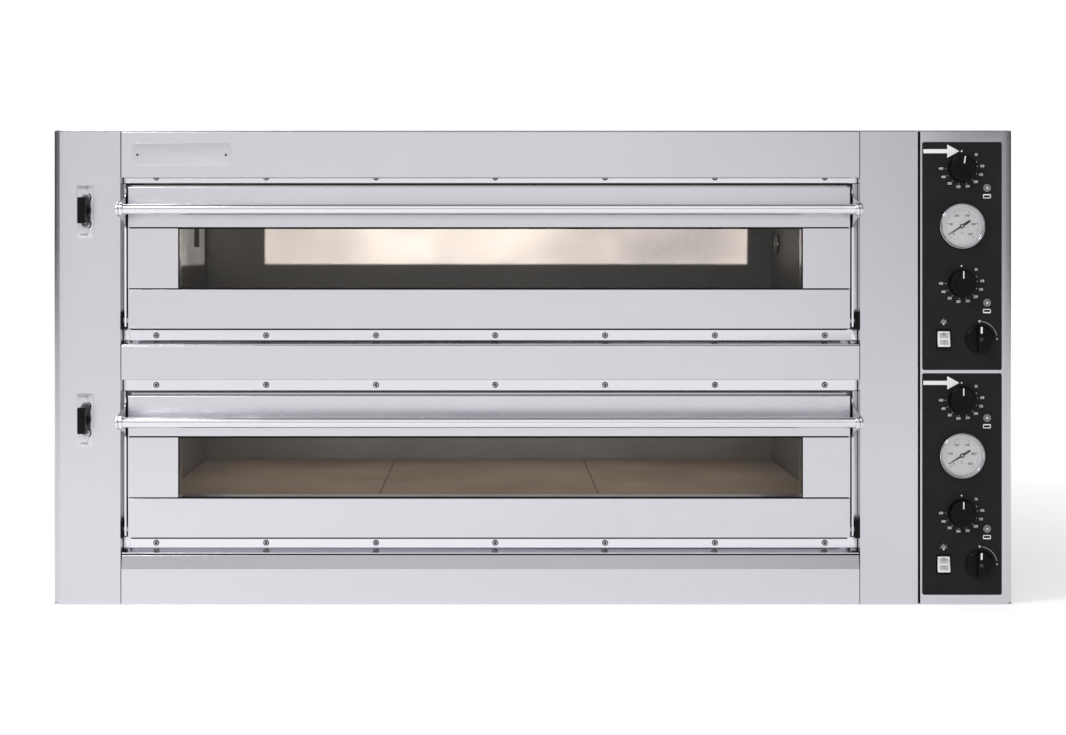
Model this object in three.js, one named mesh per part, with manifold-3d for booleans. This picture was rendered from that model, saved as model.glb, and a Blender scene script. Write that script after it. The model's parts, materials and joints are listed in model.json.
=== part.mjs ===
// Countertop pizza oven with two baking decks, built as separate pieces.
// Millimetres. X runs to the right seen from the front, the front faces -Y, Z is up.
// The origin is at the centre of the footprint, on the surface that the oven stands on.

import * as THREE from 'three';
import { mergeVertices } from 'three/addons/utils/BufferGeometryUtils.js';
import Module from 'manifold-3d';

const wasm = await Module();
wasm.setup();

// ---------------------------------------------------------------------------
// Driving dimensions
// ---------------------------------------------------------------------------

const WIDTH = 1510;
const HEIGHT = 745;
const DEPTH = 945;
const HANDLE_REACH = 81; // from the front plane to the foremost point of a handle
const GLAND_REACH = 7; // cable gland, beyond the back panel
const SHEET = 1.5; // stainless sheet
const CLEARANCE = 0.4; // between neighbouring pieces
const THROUGH = 5; // how far a cutter reaches past the sheet it cuts

const LEFT = -WIDTH / 2;
const RIGHT = WIDTH / 2;
const BACK = DEPTH / 2 - GLAND_REACH;
const FRONT = -DEPTH / 2 + HANDLE_REACH; // plane of the columns and the fascias
const CASING_TOP = HEIGHT - SHEET - CLEARANCE;
const CORNER_RADIUS = 16;

// Columns and the bay between them
const COLUMN_RIGHT = LEFT + 107;
const BAY_LEFT = COLUMN_RIGHT + 1;
const BAY_RIGHT = 513;
const POST_LEFT = BAY_RIGHT + 1;
const POST_RIGHT = 605;
const CONTROL_LEFT = POST_RIGHT + 3.5;
const RETURN_DEPTH = 60; // inward folds of the columns
const REAR_RETURN = 20; // inward folds of the side panels at the back

// Decks. Heights are those of the lower deck, the upper one is one pitch higher.
const DECK_PITCH = 328;
const DECKS = [
  { name: 'lower', rise: 0 },
  { name: 'upper', rise: DECK_PITCH },
];

// Fascias and trims
const FASCIA_RETURN = 20;
const BASE_UPRIGHT = 55.5;
const BASE_FRONT_TOP = 76.8;
const BASE_LEAN = 5;
const MIDDLE_BOTTOM = 353;
const MIDDLE_TOP = 407;
const TOP_FASCIA_BOTTOM = 670.6;
const TRIM_RECESS = 22;
const TOP_TRIM_BOTTOM = 334.4;
const TOP_TRIM_TOP = 357;
const BOTTOM_TRIM_TOP = 104;
const SILL_BACK = 86.2;
const SILL_FRONT = 80.6;
const SILL_DEPTH = 18;
const TRIM_RETURN = 17;

// Doors
const DOOR_LEFT = -635.6;
const DOOR_RIGHT = 497.6;
const DOOR_BOTTOM = 105.5;
const DOOR_TOP = 328.2;
const DOOR_FACE = FRONT - 4.5;
const DOOR_BACK = FRONT + 34;
const WINDOW_LEFT = -557;
const WINDOW_RIGHT = 423.5;
const WINDOW_BOTTOM = 169.1;
const WINDOW_TOP = 262.7;
const DOOR_JOINT = 2.2; // open joint between the door's front sheets and the stiles beside the window
const GLASS_THICKNESS = 5;
const GLASS_OVERLAP = 10;
const HINGE_Y = FRONT + 8;
const HINGE_Z = DOOR_BOTTOM + 12.5;
const TRUNNION_RADIUS = 5;

// Handles
const BAR_RADIUS = 8;
const BAR_DISTANCE = 70; // bar centre in front of the front plane
const BAR_DROP = 36.5; // bar centre below the top of the door
const ARM_TIP_RADIUS = HANDLE_REACH - BAR_DISTANCE;
const ARM_THICKNESS = 3; // side plates that carry the bar
const ARM_GAP = 2.4; // between an arm and the side of the door
const ARM_DEPTH = 28;
const ARM_ROOT = { above: 27, below: 31 }; // where the arm leaves the door, from the bar's height
const CAP_THICKNESS = 2.5;
const COLLAR_LENGTH = 6;

// Baking chambers
const CHAMBER_LEFT = -620;
const CHAMBER_RIGHT = 482;
const CHAMBER_FRONT = FRONT + 42;
const CHAMBER_DEPTH = 730;
const CHAMBER_BACK = CHAMBER_FRONT + CHAMBER_DEPTH;
const LINER_BOTTOM = 100;
const LINER_TOP = 308;
const STONE_TOP = 150;
const STONE_THICKNESS = 16;
const HEATER_RADIUS = 4;
const BOTTOM_HEATER_HEIGHT = 117;
const TOP_HEATER_HEIGHT = 294;
const LAMP_RADIUS = 20;

// Steam vents, worked by levers behind the left column
const VENT_X = -704;
const VENT_HEIGHT = 290;
const VENT_SLOT = { width: 9, height: 42 };
const VENT_PIVOT_Y = FRONT + 450;
const VENT_FLAP_Y = VENT_PIVOT_Y + 190;
const VENT_DUCT = { back: 36, front: 36, bottom: 232, top: 272, left: -738 };
const VENT_PIN = { radius: 4, length: 36 };
const VENT_BRACKET = { reach: 8, depth: 18, height: 32 };
const VENT_FLAP = { above: 9, thickness: 2, overlap: 4, reach: 36 };

// Cooling slots of the control compartment, in two columns, and the steam outlets of a deck
const COOLING = { rows: 6, pitch: 22, gap: 24, bottom: 560, height: 6 };
const SIDE_SLOTS = { width: 60, fromBack: 80 };
const BACK_SLOTS = { width: 44, left: 630 };
const STEAM_OUTLETS = { left: -735, right: -665, bottom: 240, height: 8, pitch: 20, count: 3 };
const GLAND = { x: 690, z: 70, radius: 12, collar: 18, bore: 7, length: 26 };

// Control panels, and the heights of the controls on them
const PANEL_LEFT = 611.7;
const PANEL_RIGHT = 736.2;
const PANEL_THICKNESS = 1.7;
const PANEL_FACE = FRONT - 0.3 - PANEL_THICKNESS;
const KNOB_X = 673;
const KNOB_RADIUS = 21.5;
const KNOB_HEIGHT = 15;
const ROTARY_X = 701.2;
const ROTARY_RADIUS = 22.5;
const ROCKER_X = 644.9;
const ROCKER = { width: 19.4, height: 24.6, front: 5.5, back: 4 };
const THERMOMETER_RADIUS = 35.7;
const SHAFT_RADIUS = 3;
const SHAFT_LENGTH = 14;
const PANELS = {
  lower: {
    bottom: 15.4, top: 363.3,
    topKnob: 321.8, gauge: 234.4, bottomKnob: 144.6, switches: 63.6,
  },
  upper: {
    bottom: 368.5, top: 726.7,
    topKnob: 685.6, gauge: 594.6, bottomKnob: 505.2, switches: 417.3,
  },
};

// ---------------------------------------------------------------------------
// Materials
// ---------------------------------------------------------------------------

const finish = (color, roughness, metalness) =>
  new THREE.MeshStandardMaterial({ color, roughness, metalness });

const stainless = () => finish(0xc6c6c9, 0.32, 1);
const polishedSteel = () => finish(0xdcdcde, 0.18, 1);
const galvanised = () => finish(0x9da0a3, 0.5, 1);
const aluminisedSteel = () => finish(0x8c8a88, 0.45, 1);
const blackPlastic = () => finish(0x18181a, 0.45, 0);
const panelBlack = () => finish(0x28282a, 0.5, 0);
const whitePlastic = () => finish(0xe9e9e6, 0.4, 0);
const gaugeBlack = () => finish(0x141414, 0.5, 0);
const fireBrick = () => finish(0xb09a80, 0.9, 0);
const mineralWool = () => finish(0xb8a878, 1, 0);
const ceramicGlass = () => finish(0x30343a, 0.05, 0);
const heaterSheath = () => finish(0x55504c, 0.5, 1);

// ---------------------------------------------------------------------------
// Geometry helpers
// ---------------------------------------------------------------------------

const box = (x0, x1, y0, y1, z0, z1) => {
  const geometry = new THREE.BoxGeometry(x1 - x0, y1 - y0, z1 - z0);
  return geometry.translate((x0 + x1) / 2, (y0 + y1) / 2, (z0 + z1) / 2);
};

const basis = (x, y, z) =>
  new THREE.Matrix4().makeBasis(new THREE.Vector3(...x), new THREE.Vector3(...y), new THREE.Vector3(...z));

const ALONG_X = basis([0, 1, 0], [0, 0, 1], [1, 0, 0]); // drawn in Y and Z, pushed along X
const ALONG_MINUS_Y = basis([1, 0, 0], [0, 0, 1], [0, -1, 0]); // drawn in X and Z, pushed to the front

const extrude = (shape, depth) =>
  new THREE.ExtrudeGeometry(shape, { depth, bevelEnabled: false, curveSegments: 6 });

// Outline drawn in plan, from z0 up to z1
const uprightExtrusion = (shape, z0, z1) => extrude(shape, z1 - z0).translate(0, 0, z0);

// Outline drawn in Y and Z, from x0 across to x1
const crosswiseExtrusion = (shape, x0, x1) =>
  extrude(shape, x1 - x0).applyMatrix4(ALONG_X).translate(x0, 0, 0);

// Outline drawn in X and Z, from y1 forward to y0
const forwardExtrusion = (shape, y0, y1) =>
  extrude(shape, y1 - y0).applyMatrix4(ALONG_MINUS_Y).translate(0, y1, 0);

const polygon = (points) => new THREE.Shape(points.map(([u, v]) => new THREE.Vector2(u, v)));

// Points along an arc, from angle a0 to angle a1 in degrees
const arcPoints = (cu, cv, radius, a0, a1, steps = 5) =>
  Array.from({ length: steps + 1 }, (_, i) => {
    const angle = THREE.MathUtils.degToRad(a0 + ((a1 - a0) * i) / steps);
    return [cu + radius * Math.cos(angle), cv + radius * Math.sin(angle)];
  });

// A sheet folded along an open path of outer points. The metal lies to the left of the path.
const foldedSheet = (path) => {
  const points = path.map(([u, v]) => new THREE.Vector2(u, v));
  const normals = points.slice(1).map((p, i) => {
    const along = p.clone().sub(points[i]).normalize();
    return new THREE.Vector2(-along.y, along.x);
  });
  const inner = points.map((p, i) => {
    const before = normals[Math.max(i - 1, 0)];
    const after = normals[Math.min(i, normals.length - 1)];
    const middle = before.clone().add(after).normalize();
    return p.clone().addScaledVector(middle, SHEET / middle.dot(after));
  });
  return new THREE.Shape([...points, ...inner.reverse()]);
};

// A round piece with its axis along -Y, from [radius, distance in front] pairs.
// The profile starts on the axis at the back and ends on it at the front.
const turned = (profile, segments = 24) => {
  const points = profile.map(([radius, front]) => new THREE.Vector2(radius, front));
  return new THREE.LatheGeometry(points, segments).applyMatrix4(basis([1, 0, 0], [0, -1, 0], [0, 0, -1]));
};

// The same, with its axis along +X
const turnedAlongX = (profile, segments = 24) => {
  const points = profile.map(([radius, across]) => new THREE.Vector2(radius, across));
  return new THREE.LatheGeometry(points, segments).applyMatrix4(basis([0, 1, 0], [1, 0, 0], [0, 0, -1]));
};

// Plain cylinder along X or along Y
const rodAlongX = (x0, x1, y, z, radius, segments = 16) =>
  new THREE.CylinderGeometry(radius, radius, x1 - x0, segments)
    .rotateZ(Math.PI / 2)
    .translate((x0 + x1) / 2, y, z);

const rodAlongY = (x, y0, y1, z, radius, segments = 16) =>
  new THREE.CylinderGeometry(radius, radius, y1 - y0, segments).translate(x, (y0 + y1) / 2, z);

const solid = (geometry) => {
  const bare = geometry.clone();
  bare.deleteAttribute('normal');
  bare.deleteAttribute('uv');
  const merged = mergeVertices(bare, 1e-4);
  const vertProperties = new Float32Array(merged.getAttribute('position').array);
  const triVerts = new Uint32Array(merged.getIndex().array);
  return new wasm.Manifold(new wasm.Mesh({ numProp: 3, vertProperties, triVerts }));
};

const geometryOf = (manifold) => {
  const mesh = manifold.getMesh();
  const geometry = new THREE.BufferGeometry();
  geometry.setAttribute('position', new THREE.BufferAttribute(new Float32Array(mesh.vertProperties), 3));
  geometry.setIndex(new THREE.BufferAttribute(new Uint32Array(mesh.triVerts), 1));
  return geometry;
};

const join = (first, ...others) =>
  geometryOf(others.reduce((sum, other) => sum.add(solid(other)), solid(first)));

const cut = (first, ...others) =>
  geometryOf(others.reduce((rest, other) => rest.subtract(solid(other)), solid(first)));

// ---------------------------------------------------------------------------
// Scene
// ---------------------------------------------------------------------------

const oven = new THREE.Group();

const add = (name, geometry, material, position = [0, 0, 0]) => {
  const mesh = new THREE.Mesh(geometry, material);
  mesh.name = name;
  mesh.position.set(...position);
  oven.add(mesh);
};

// ---------------------------------------------------------------------------
// Casing
// ---------------------------------------------------------------------------

// Room that the base plate takes at the foot of each casing
const BASE_EDGE = { x: RIGHT - SHEET - CLEARANCE, y: FRONT + SHEET + CLEARANCE };
const footNotch = () =>
  box(-BASE_EDGE.x - 0.1, BASE_EDGE.x + 0.1, BASE_EDGE.y - 0.1, BACK, -1, SHEET + CLEARANCE);

const REAR = BACK - SHEET - CLEARANCE; // where the side panels end, ahead of the back panel

function leftCasing() {
  const path = [
    [COLUMN_RIGHT, FRONT + RETURN_DEPTH],
    [COLUMN_RIGHT, FRONT],
    ...arcPoints(LEFT + CORNER_RADIUS, FRONT + CORNER_RADIUS, CORNER_RADIUS, 270, 180),
    [LEFT, REAR],
    [LEFT + REAR_RETURN, REAR],
  ];
  const inward = foldedSheet(path.reverse());
  const shell = uprightExtrusion(inward, 0, CASING_TOP);
  const cuts = [footNotch()];
  const brackets = [];
  for (const { rise } of DECKS) {
    const ventZ = VENT_HEIGHT + rise;
    const { width, height } = VENT_SLOT;
    cuts.push(
      box(
        VENT_X - width / 2, VENT_X + width / 2,
        FRONT - THROUGH, FRONT + THROUGH,
        ventZ - height / 2, ventZ + height / 2,
      ),
      hingeHole(COLUMN_RIGHT, rise),
    );
    brackets.push(ventBracket(ventZ));
  }
  return join(cut(shell, ...cuts), ...brackets);
}

// Hole for a door's trunnion in the fold of a column
const hingeHole = (x, rise) =>
  rodAlongX(x - THROUGH, x + THROUGH, HINGE_Y, HINGE_Z + rise, TRUNNION_RADIUS + CLEARANCE);

// Bearing for a vent lever, welded to the side panel
function ventBracket(z) {
  const { reach, depth, height } = VENT_BRACKET;
  const block = box(
    LEFT + SHEET / 2, VENT_X - reach,
    VENT_PIVOT_Y - depth / 2, VENT_PIVOT_Y + depth / 2,
    z - height / 2, z + height / 2,
  );
  const boreEnd = VENT_X - VENT_PIN.length - 7;
  return cut(block, rodAlongX(boreEnd, VENT_X, VENT_PIVOT_Y, z, VENT_PIN.radius + CLEARANCE));
}

function rightPost() {
  const path = [
    [POST_RIGHT, FRONT + RETURN_DEPTH],
    [POST_RIGHT, FRONT],
    [POST_LEFT, FRONT],
    [POST_LEFT, FRONT + RETURN_DEPTH],
  ];
  const shell = uprightExtrusion(foldedSheet(path.reverse()), 0, CASING_TOP);
  const hingeHoles = DECKS.map(({ rise }) => hingeHole(POST_LEFT, rise));
  return cut(shell, footNotch(), ...hingeHoles);
}

function controlCasing() {
  const path = [
    [CONTROL_LEFT, REAR],
    [CONTROL_LEFT, FRONT],
    ...arcPoints(RIGHT - CORNER_RADIUS, FRONT + CORNER_RADIUS, CORNER_RADIUS, 270, 360),
    [RIGHT, REAR],
    [RIGHT - REAR_RETURN, REAR],
  ];
  const shell = uprightExtrusion(foldedSheet(path), 0, CASING_TOP);
  const margin = 8; // of sheet behind the edge of a panel
  const windows = Object.values(PANELS).map(({ bottom, top }) =>
    box(
      PANEL_LEFT + margin, PANEL_RIGHT - margin,
      FRONT - THROUGH, FRONT + THROUGH,
      bottom + margin, top - margin,
    ),
  );
  const slotsBack = REAR - SIDE_SLOTS.fromBack;
  const slots = coolingSlots(SIDE_SLOTS.width).map(({ start, end, bottom, top }) =>
    box(RIGHT - THROUGH, RIGHT + THROUGH, slotsBack - end, slotsBack - start, bottom, top),
  );
  return cut(shell, footNotch(), ...windows, ...slots);
}

// Where each cooling slot starts and ends along the sheet, and its heights
function coolingSlots(width) {
  return Array.from({ length: COOLING.rows * 2 }, (_, i) => {
    const start = (i % 2) * (width + COOLING.gap);
    const bottom = COOLING.bottom + Math.floor(i / 2) * COOLING.pitch;
    return { start, end: start + width, bottom, top: bottom + COOLING.height };
  });
}

function topCover() {
  const outline = [
    ...arcPoints(LEFT + CORNER_RADIUS, FRONT + CORNER_RADIUS, CORNER_RADIUS, 180, 270),
    ...arcPoints(RIGHT - CORNER_RADIUS, FRONT + CORNER_RADIUS, CORNER_RADIUS, 270, 360),
    [RIGHT, BACK],
    [LEFT, BACK],
  ];
  return uprightExtrusion(polygon(outline), HEIGHT - SHEET, HEIGHT);
}

function backPanel() {
  const plate = box(-BASE_EDGE.x, BASE_EDGE.x, BACK - SHEET, BACK, SHEET + CLEARANCE, CASING_TOP);
  const throughPlate = (x0, x1, z0, z1) => box(x0, x1, BACK - THROUGH, BACK + THROUGH, z0, z1);
  const behindControls = coolingSlots(BACK_SLOTS.width).map(({ start, end, bottom, top }) =>
    throughPlate(BACK_SLOTS.left + start, BACK_SLOTS.left + end, bottom, top),
  );
  const { left, right, height, pitch, count } = STEAM_OUTLETS;
  const steamOutlets = DECKS.flatMap(({ rise }) =>
    Array.from({ length: count }, (_, i) => {
      const bottom = STEAM_OUTLETS.bottom + rise + i * pitch;
      return throughPlate(left, right, bottom, bottom + height);
    }),
  );
  const glandHole = rodAlongY(GLAND.x, BACK - THROUGH, BACK + THROUGH, GLAND.z, GLAND.radius + CLEARANCE);
  return cut(plate, ...behindControls, ...steamOutlets, glandHole);
}

// Front sheet with a fold at its foot and at its head
function fascia(bottom, top) {
  const path = [
    [FRONT + FASCIA_RETURN, top],
    [FRONT, top],
    [FRONT, bottom],
    [FRONT + FASCIA_RETURN, bottom],
  ];
  return crosswiseExtrusion(foldedSheet(path), BAY_LEFT, BAY_RIGHT);
}

// Bottom pan with its front upstand, which leans back at the top, and a rear upstand
function basePan() {
  const footReturn = 30;
  const rearHeight = 40;
  const path = [
    [FRONT + FASCIA_RETURN, BASE_FRONT_TOP],
    [FRONT + BASE_LEAN, BASE_FRONT_TOP],
    [FRONT, BASE_UPRIGHT],
    [FRONT, 0],
    [FRONT + footReturn, 0],
  ];
  const upstand = crosswiseExtrusion(foldedSheet(path), BAY_LEFT, BAY_RIGHT);
  const plate = box(-BASE_EDGE.x, BASE_EDGE.x, BASE_EDGE.y, REAR, 0, SHEET);
  const rear = box(COLUMN_RIGHT, POST_RIGHT, REAR - SHEET, REAR, 0, rearHeight);
  return join(plate, upstand, rear);
}

// Bored through for the cable, with its collar outside the back panel
function cableGland() {
  const { radius, collar, bore, length } = GLAND;
  const profile = [
    [bore, 0],
    [collar, 0],
    [collar, GLAND_REACH - CLEARANCE],
    [radius, GLAND_REACH - CLEARANCE],
    [radius, length],
    [bore, length],
    [bore, 0],
  ];
  return turned(profile, 18);
}

// Recessed strip above a door, with a fold to the back along its foot
function topTrim(rise) {
  const face = FRONT + TRIM_RECESS;
  const path = [
    [face, TOP_TRIM_TOP + rise],
    [face, TOP_TRIM_BOTTOM + rise],
    [face + TRIM_RETURN, TOP_TRIM_BOTTOM + rise],
  ];
  return crosswiseExtrusion(foldedSheet(path), BAY_LEFT, BAY_RIGHT);
}

// Recessed strip below a door, with a sill that slopes down to the front
function bottomTrim(rise) {
  const face = FRONT + TRIM_RECESS;
  const path = [
    [face + TRIM_RETURN, BOTTOM_TRIM_TOP + rise],
    [face, BOTTOM_TRIM_TOP + rise],
    [face, SILL_BACK + rise],
    [face - SILL_DEPTH, SILL_FRONT + rise],
  ];
  return crosswiseExtrusion(foldedSheet(path), BAY_LEFT, BAY_RIGHT);
}

add('left_casing', leftCasing(), stainless());
add('right_post', rightPost(), stainless());
add('control_casing', controlCasing(), stainless());
add('top_cover', topCover(), stainless());
add('back_panel', backPanel(), galvanised());
add('top_fascia', fascia(TOP_FASCIA_BOTTOM, CASING_TOP), stainless());
add('middle_fascia', fascia(MIDDLE_BOTTOM, MIDDLE_TOP), stainless());
add('base_pan', basePan(), stainless());
add('cable_gland', cableGland(), blackPlastic(), [GLAND.x, BACK + GLAND_REACH, GLAND.z]);
for (const { name, rise } of DECKS) {
  add(`${name}_top_trim`, topTrim(rise), polishedSteel());
  add(`${name}_bottom_trim`, bottomTrim(rise), polishedSteel());
}

// ---------------------------------------------------------------------------
// Baking chambers
// ---------------------------------------------------------------------------

const DUCT_Y = { front: VENT_FLAP_Y - VENT_DUCT.front, back: VENT_FLAP_Y + VENT_DUCT.back };
const HEATER_ROWS = 5;
const HEATER_PITCH = 136;
const HEATER_FIRST_ROW = CHAMBER_FRONT + 95;
const HEATER_END = CHAMBER_RIGHT + 16;
const LAMP_Y = CHAMBER_BACK - 90;
const LAMP_Z = 240;
const LAMP_STEM = LAMP_RADIUS - 5;
const LEDGE = { width: 20, setback: 10 };

// Lined box, open to the front, with the flange that the door closes on, ledges
// for the stone and the steam duct on its left side
function chamberLiner(rise) {
  const bottom = LINER_BOTTOM + rise;
  const top = LINER_TOP + rise;
  const ledgeTop = STONE_TOP - STONE_THICKNESS - CLEARANCE + rise;
  const ductBottom = VENT_DUCT.bottom + rise;
  const ductTop = VENT_DUCT.top + rise;
  const outer = box(
    CHAMBER_LEFT - SHEET, CHAMBER_RIGHT + SHEET,
    CHAMBER_FRONT - SHEET, CHAMBER_BACK + SHEET,
    bottom, top,
  );
  const cavity = box(
    CHAMBER_LEFT, CHAMBER_RIGHT,
    CHAMBER_FRONT - THROUGH, CHAMBER_BACK,
    bottom + SHEET, top - SHEET,
  );
  const flange = box(
    BAY_LEFT, BAY_RIGHT,
    CHAMBER_FRONT - SHEET, CHAMBER_FRONT,
    SILL_BACK + rise, TOP_TRIM_BOTTOM - 2 + rise,
  );
  const duct = box(VENT_DUCT.left, CHAMBER_LEFT, DUCT_Y.front, DUCT_Y.back, ductBottom, ductTop);
  const ductPassage = box(
    VENT_DUCT.left + SHEET, CHAMBER_LEFT + THROUGH,
    DUCT_Y.front + SHEET, DUCT_Y.back - SHEET,
    ductBottom + SHEET, ductTop - SHEET,
  );
  const ductMouth = box(
    VENT_DUCT.left + SHEET, VENT_X + VENT_FLAP.reach - VENT_FLAP.overlap,
    DUCT_Y.front + SHEET, DUCT_Y.back - SHEET,
    ductTop - THROUGH, ductTop + THROUGH,
  );
  const weld = 0.5; // of a ledge inside the wall that carries it
  const ledges = [CHAMBER_LEFT, CHAMBER_RIGHT - LEDGE.width].map((x) =>
    box(
      x - weld, x + LEDGE.width + weld,
      CHAMBER_FRONT + LEDGE.setback, CHAMBER_BACK,
      ledgeTop - SHEET, ledgeTop,
    ),
  );
  const heaterHoles = [BOTTOM_HEATER_HEIGHT, TOP_HEATER_HEIGHT].flatMap((height) =>
    [0, HEATER_ROWS - 1].map((row) =>
      rodAlongX(
        CHAMBER_RIGHT - THROUGH, CHAMBER_RIGHT + THROUGH,
        HEATER_FIRST_ROW + row * HEATER_PITCH, height + rise,
        HEATER_RADIUS + 2 * CLEARANCE, 12,
      ),
    ),
  );
  const lampHole = rodAlongX(
    CHAMBER_RIGHT - THROUGH, CHAMBER_RIGHT + THROUGH,
    LAMP_Y, LAMP_Z + rise, LAMP_STEM + CLEARANCE,
  );
  const shell = cut(join(outer, flange, duct), cavity, ductPassage, ductMouth, ...heaterHoles, lampHole);
  return join(shell, ...ledges);
}

function stoneFloor(rise) {
  const gap = 3;
  return box(
    CHAMBER_LEFT + gap, CHAMBER_RIGHT - gap,
    CHAMBER_FRONT + gap, CHAMBER_BACK - gap,
    STONE_TOP - STONE_THICKNESS + rise, STONE_TOP + rise,
  );
}

// A route that is straight between its points, so that an extrusion has one ring at each of them
class Route extends THREE.Curve {
  constructor(points) {
    super();
    this.points = points;
  }

  getPoint(t, target = new THREE.Vector3()) {
    const position = t * (this.points.length - 1);
    const index = Math.min(Math.max(Math.floor(position), 0), this.points.length - 2);
    return target.lerpVectors(this.points[index], this.points[index + 1], position - index);
  }

  getPointAt(t, target) {
    return this.getPoint(t, target);
  }

  getTangentAt(t, target) {
    return this.getTangent(t, target);
  }
}

// Sheathed element that runs to and fro over the deck, with both ends out of the right wall
function heatingElement(height) {
  const bend = HEATER_PITCH / 2;
  const wallGap = 30;
  const near = CHAMBER_RIGHT - wallGap - bend;
  const far = CHAMBER_LEFT + wallGap + bend;
  const points = [new THREE.Vector3(HEATER_END, HEATER_FIRST_ROW, height)];
  for (let row = 0; row < HEATER_ROWS - 1; row += 1) {
    const toLeft = row % 2 === 0;
    const bendX = toLeft ? far : near;
    const bendY = HEATER_FIRST_ROW + row * HEATER_PITCH + bend;
    const sweep = toLeft ? -180 : 180;
    for (const [x, y] of arcPoints(bendX, bendY, bend, -90, -90 + sweep, 6)) {
      points.push(new THREE.Vector3(x, y, height));
    }
  }
  const lastRow = HEATER_FIRST_ROW + (HEATER_ROWS - 1) * HEATER_PITCH;
  points.push(new THREE.Vector3(HEATER_END, lastRow, height));
  const section = polygon(arcPoints(0, 0, HEATER_RADIUS, 0, 300, 5));
  return new THREE.ExtrudeGeometry(section, {
    steps: points.length - 1,
    bevelEnabled: false,
    extrudePath: new Route(points),
  });
}

// Oven lamp in the right wall: lens inside the chamber, holder outside
function chamberLamp() {
  const lens = 8;
  const chamfer = 4;
  const holder = 28;
  const profile = [
    [0, -lens],
    [LAMP_RADIUS - chamfer, -lens],
    [LAMP_RADIUS, chamfer - lens],
    [LAMP_RADIUS, -CLEARANCE],
    [LAMP_STEM, -CLEARANCE],
    [LAMP_STEM, holder],
    [0, holder],
  ];
  return turnedAlongX(profile);
}

// Wool around both chambers: three slabs joined by one behind the chambers
function insulation() {
  const gap = 1;
  const slab = 50;
  const front = CHAMBER_FRONT + 6;
  const inner = CHAMBER_BACK + SHEET + gap;
  const outer = inner + slab;
  const lowerTop = LINER_TOP + gap;
  const upperBottom = LINER_BOTTOM + DECK_PITCH - gap;
  const upperTop = LINER_TOP + DECK_PITCH + gap;
  const outline = [
    [front, LINER_BOTTOM - gap - slab],
    [outer, LINER_BOTTOM - gap - slab],
    [outer, upperTop + slab],
    [front, upperTop + slab],
    [front, upperTop],
    [inner, upperTop],
    [inner, upperBottom],
    [front, upperBottom],
    [front, lowerTop],
    [inner, lowerTop],
    [inner, LINER_BOTTOM - gap],
    [front, LINER_BOTTOM - gap],
  ];
  return crosswiseExtrusion(polygon(outline), CHAMBER_LEFT, CHAMBER_RIGHT);
}

add('insulation', insulation(), mineralWool());
for (const { name, rise } of DECKS) {
  add(`${name}_chamber_liner`, chamberLiner(rise), aluminisedSteel());
  add(`${name}_stone_floor`, stoneFloor(rise), fireBrick());
  add(`${name}_bottom_heater`, heatingElement(BOTTOM_HEATER_HEIGHT + rise), heaterSheath());
  add(`${name}_top_heater`, heatingElement(TOP_HEATER_HEIGHT + rise), heaterSheath());
  add(`${name}_lamp`, chamberLamp(), polishedSteel(), [CHAMBER_RIGHT, LAMP_Y, LAMP_Z + rise]);
}

// ---------------------------------------------------------------------------
// Doors
// ---------------------------------------------------------------------------

// Hollow tray with the stiles beside the window, a tunnel behind the glass and
// the two trunnions that the door turns on
function doorFrame(rise) {
  const bottom = DOOR_BOTTOM + SHEET + CLEARANCE + rise;
  const top = DOOR_TOP - SHEET - CLEARANCE + rise;
  const windowBottom = WINDOW_BOTTOM + rise;
  const windowTop = WINDOW_TOP + rise;
  const behindSheet = DOOR_FACE + SHEET + CLEARANCE;
  const glassBack = behindSheet + GLASS_THICKNESS + CLEARANCE;
  const block = box(DOOR_LEFT, DOOR_RIGHT, DOOR_FACE, DOOR_BACK, bottom, top);
  const hollow = box(
    DOOR_LEFT + SHEET, DOOR_RIGHT - SHEET,
    DOOR_FACE + SHEET, DOOR_BACK - SHEET,
    bottom + SHEET, top - SHEET,
  );
  const rows = [
    [bottom - 5, windowBottom],
    [windowTop, top + 5],
  ].map(([z0, z1]) => box(DOOR_LEFT - 5, DOOR_RIGHT + 5, DOOR_FACE - 5, behindSheet, z0, z1));
  const tunnelOuter = box(
    WINDOW_LEFT - SHEET, WINDOW_RIGHT + SHEET,
    glassBack, DOOR_BACK - 0.5,
    windowBottom - SHEET, windowTop + SHEET,
  );
  const opening = box(
    WINDOW_LEFT, WINDOW_RIGHT,
    DOOR_FACE - 5, DOOR_BACK + 5,
    windowBottom, windowTop,
  );
  const trunnions = [
    [COLUMN_RIGHT - 6, DOOR_LEFT + 1],
    [DOOR_RIGHT - 1, POST_LEFT + 6],
  ].map(([x0, x1]) => rodAlongX(x0, x1, HINGE_Y, HINGE_Z + rise, TRUNNION_RADIUS));
  const tray = cut(block, hollow, ...rows);
  return join(cut(join(tray, tunnelOuter), opening), ...trunnions);
}

// Front sheet of the door above its window, folded back over the top of the frame and up in a rain lip
function doorTopPanel(rise) {
  const top = DOOR_TOP + rise;
  const path = [
    [DOOR_BACK - 8, top + 3],
    [DOOR_BACK - 8, top],
    [DOOR_FACE, top],
    [DOOR_FACE, WINDOW_TOP + DOOR_JOINT + rise],
  ];
  return crosswiseExtrusion(foldedSheet(path), DOOR_LEFT, DOOR_RIGHT);
}

// Front sheet of the door below its window, folded back under the frame
function doorBottomPanel(rise) {
  const bottom = DOOR_BOTTOM + rise;
  const path = [
    [DOOR_FACE, WINDOW_BOTTOM - DOOR_JOINT + rise],
    [DOOR_FACE, bottom],
    [DOOR_BACK - 8, bottom],
  ];
  return crosswiseExtrusion(foldedSheet(path), DOOR_LEFT, DOOR_RIGHT);
}

function doorGlass(rise) {
  const front = DOOR_FACE + SHEET + CLEARANCE;
  return box(
    WINDOW_LEFT - GLASS_OVERLAP, WINDOW_RIGHT + GLASS_OVERLAP,
    front, front + GLASS_THICKNESS,
    WINDOW_BOTTOM - GLASS_OVERLAP + rise, WINDOW_TOP + GLASS_OVERLAP + rise,
  );
}

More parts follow.
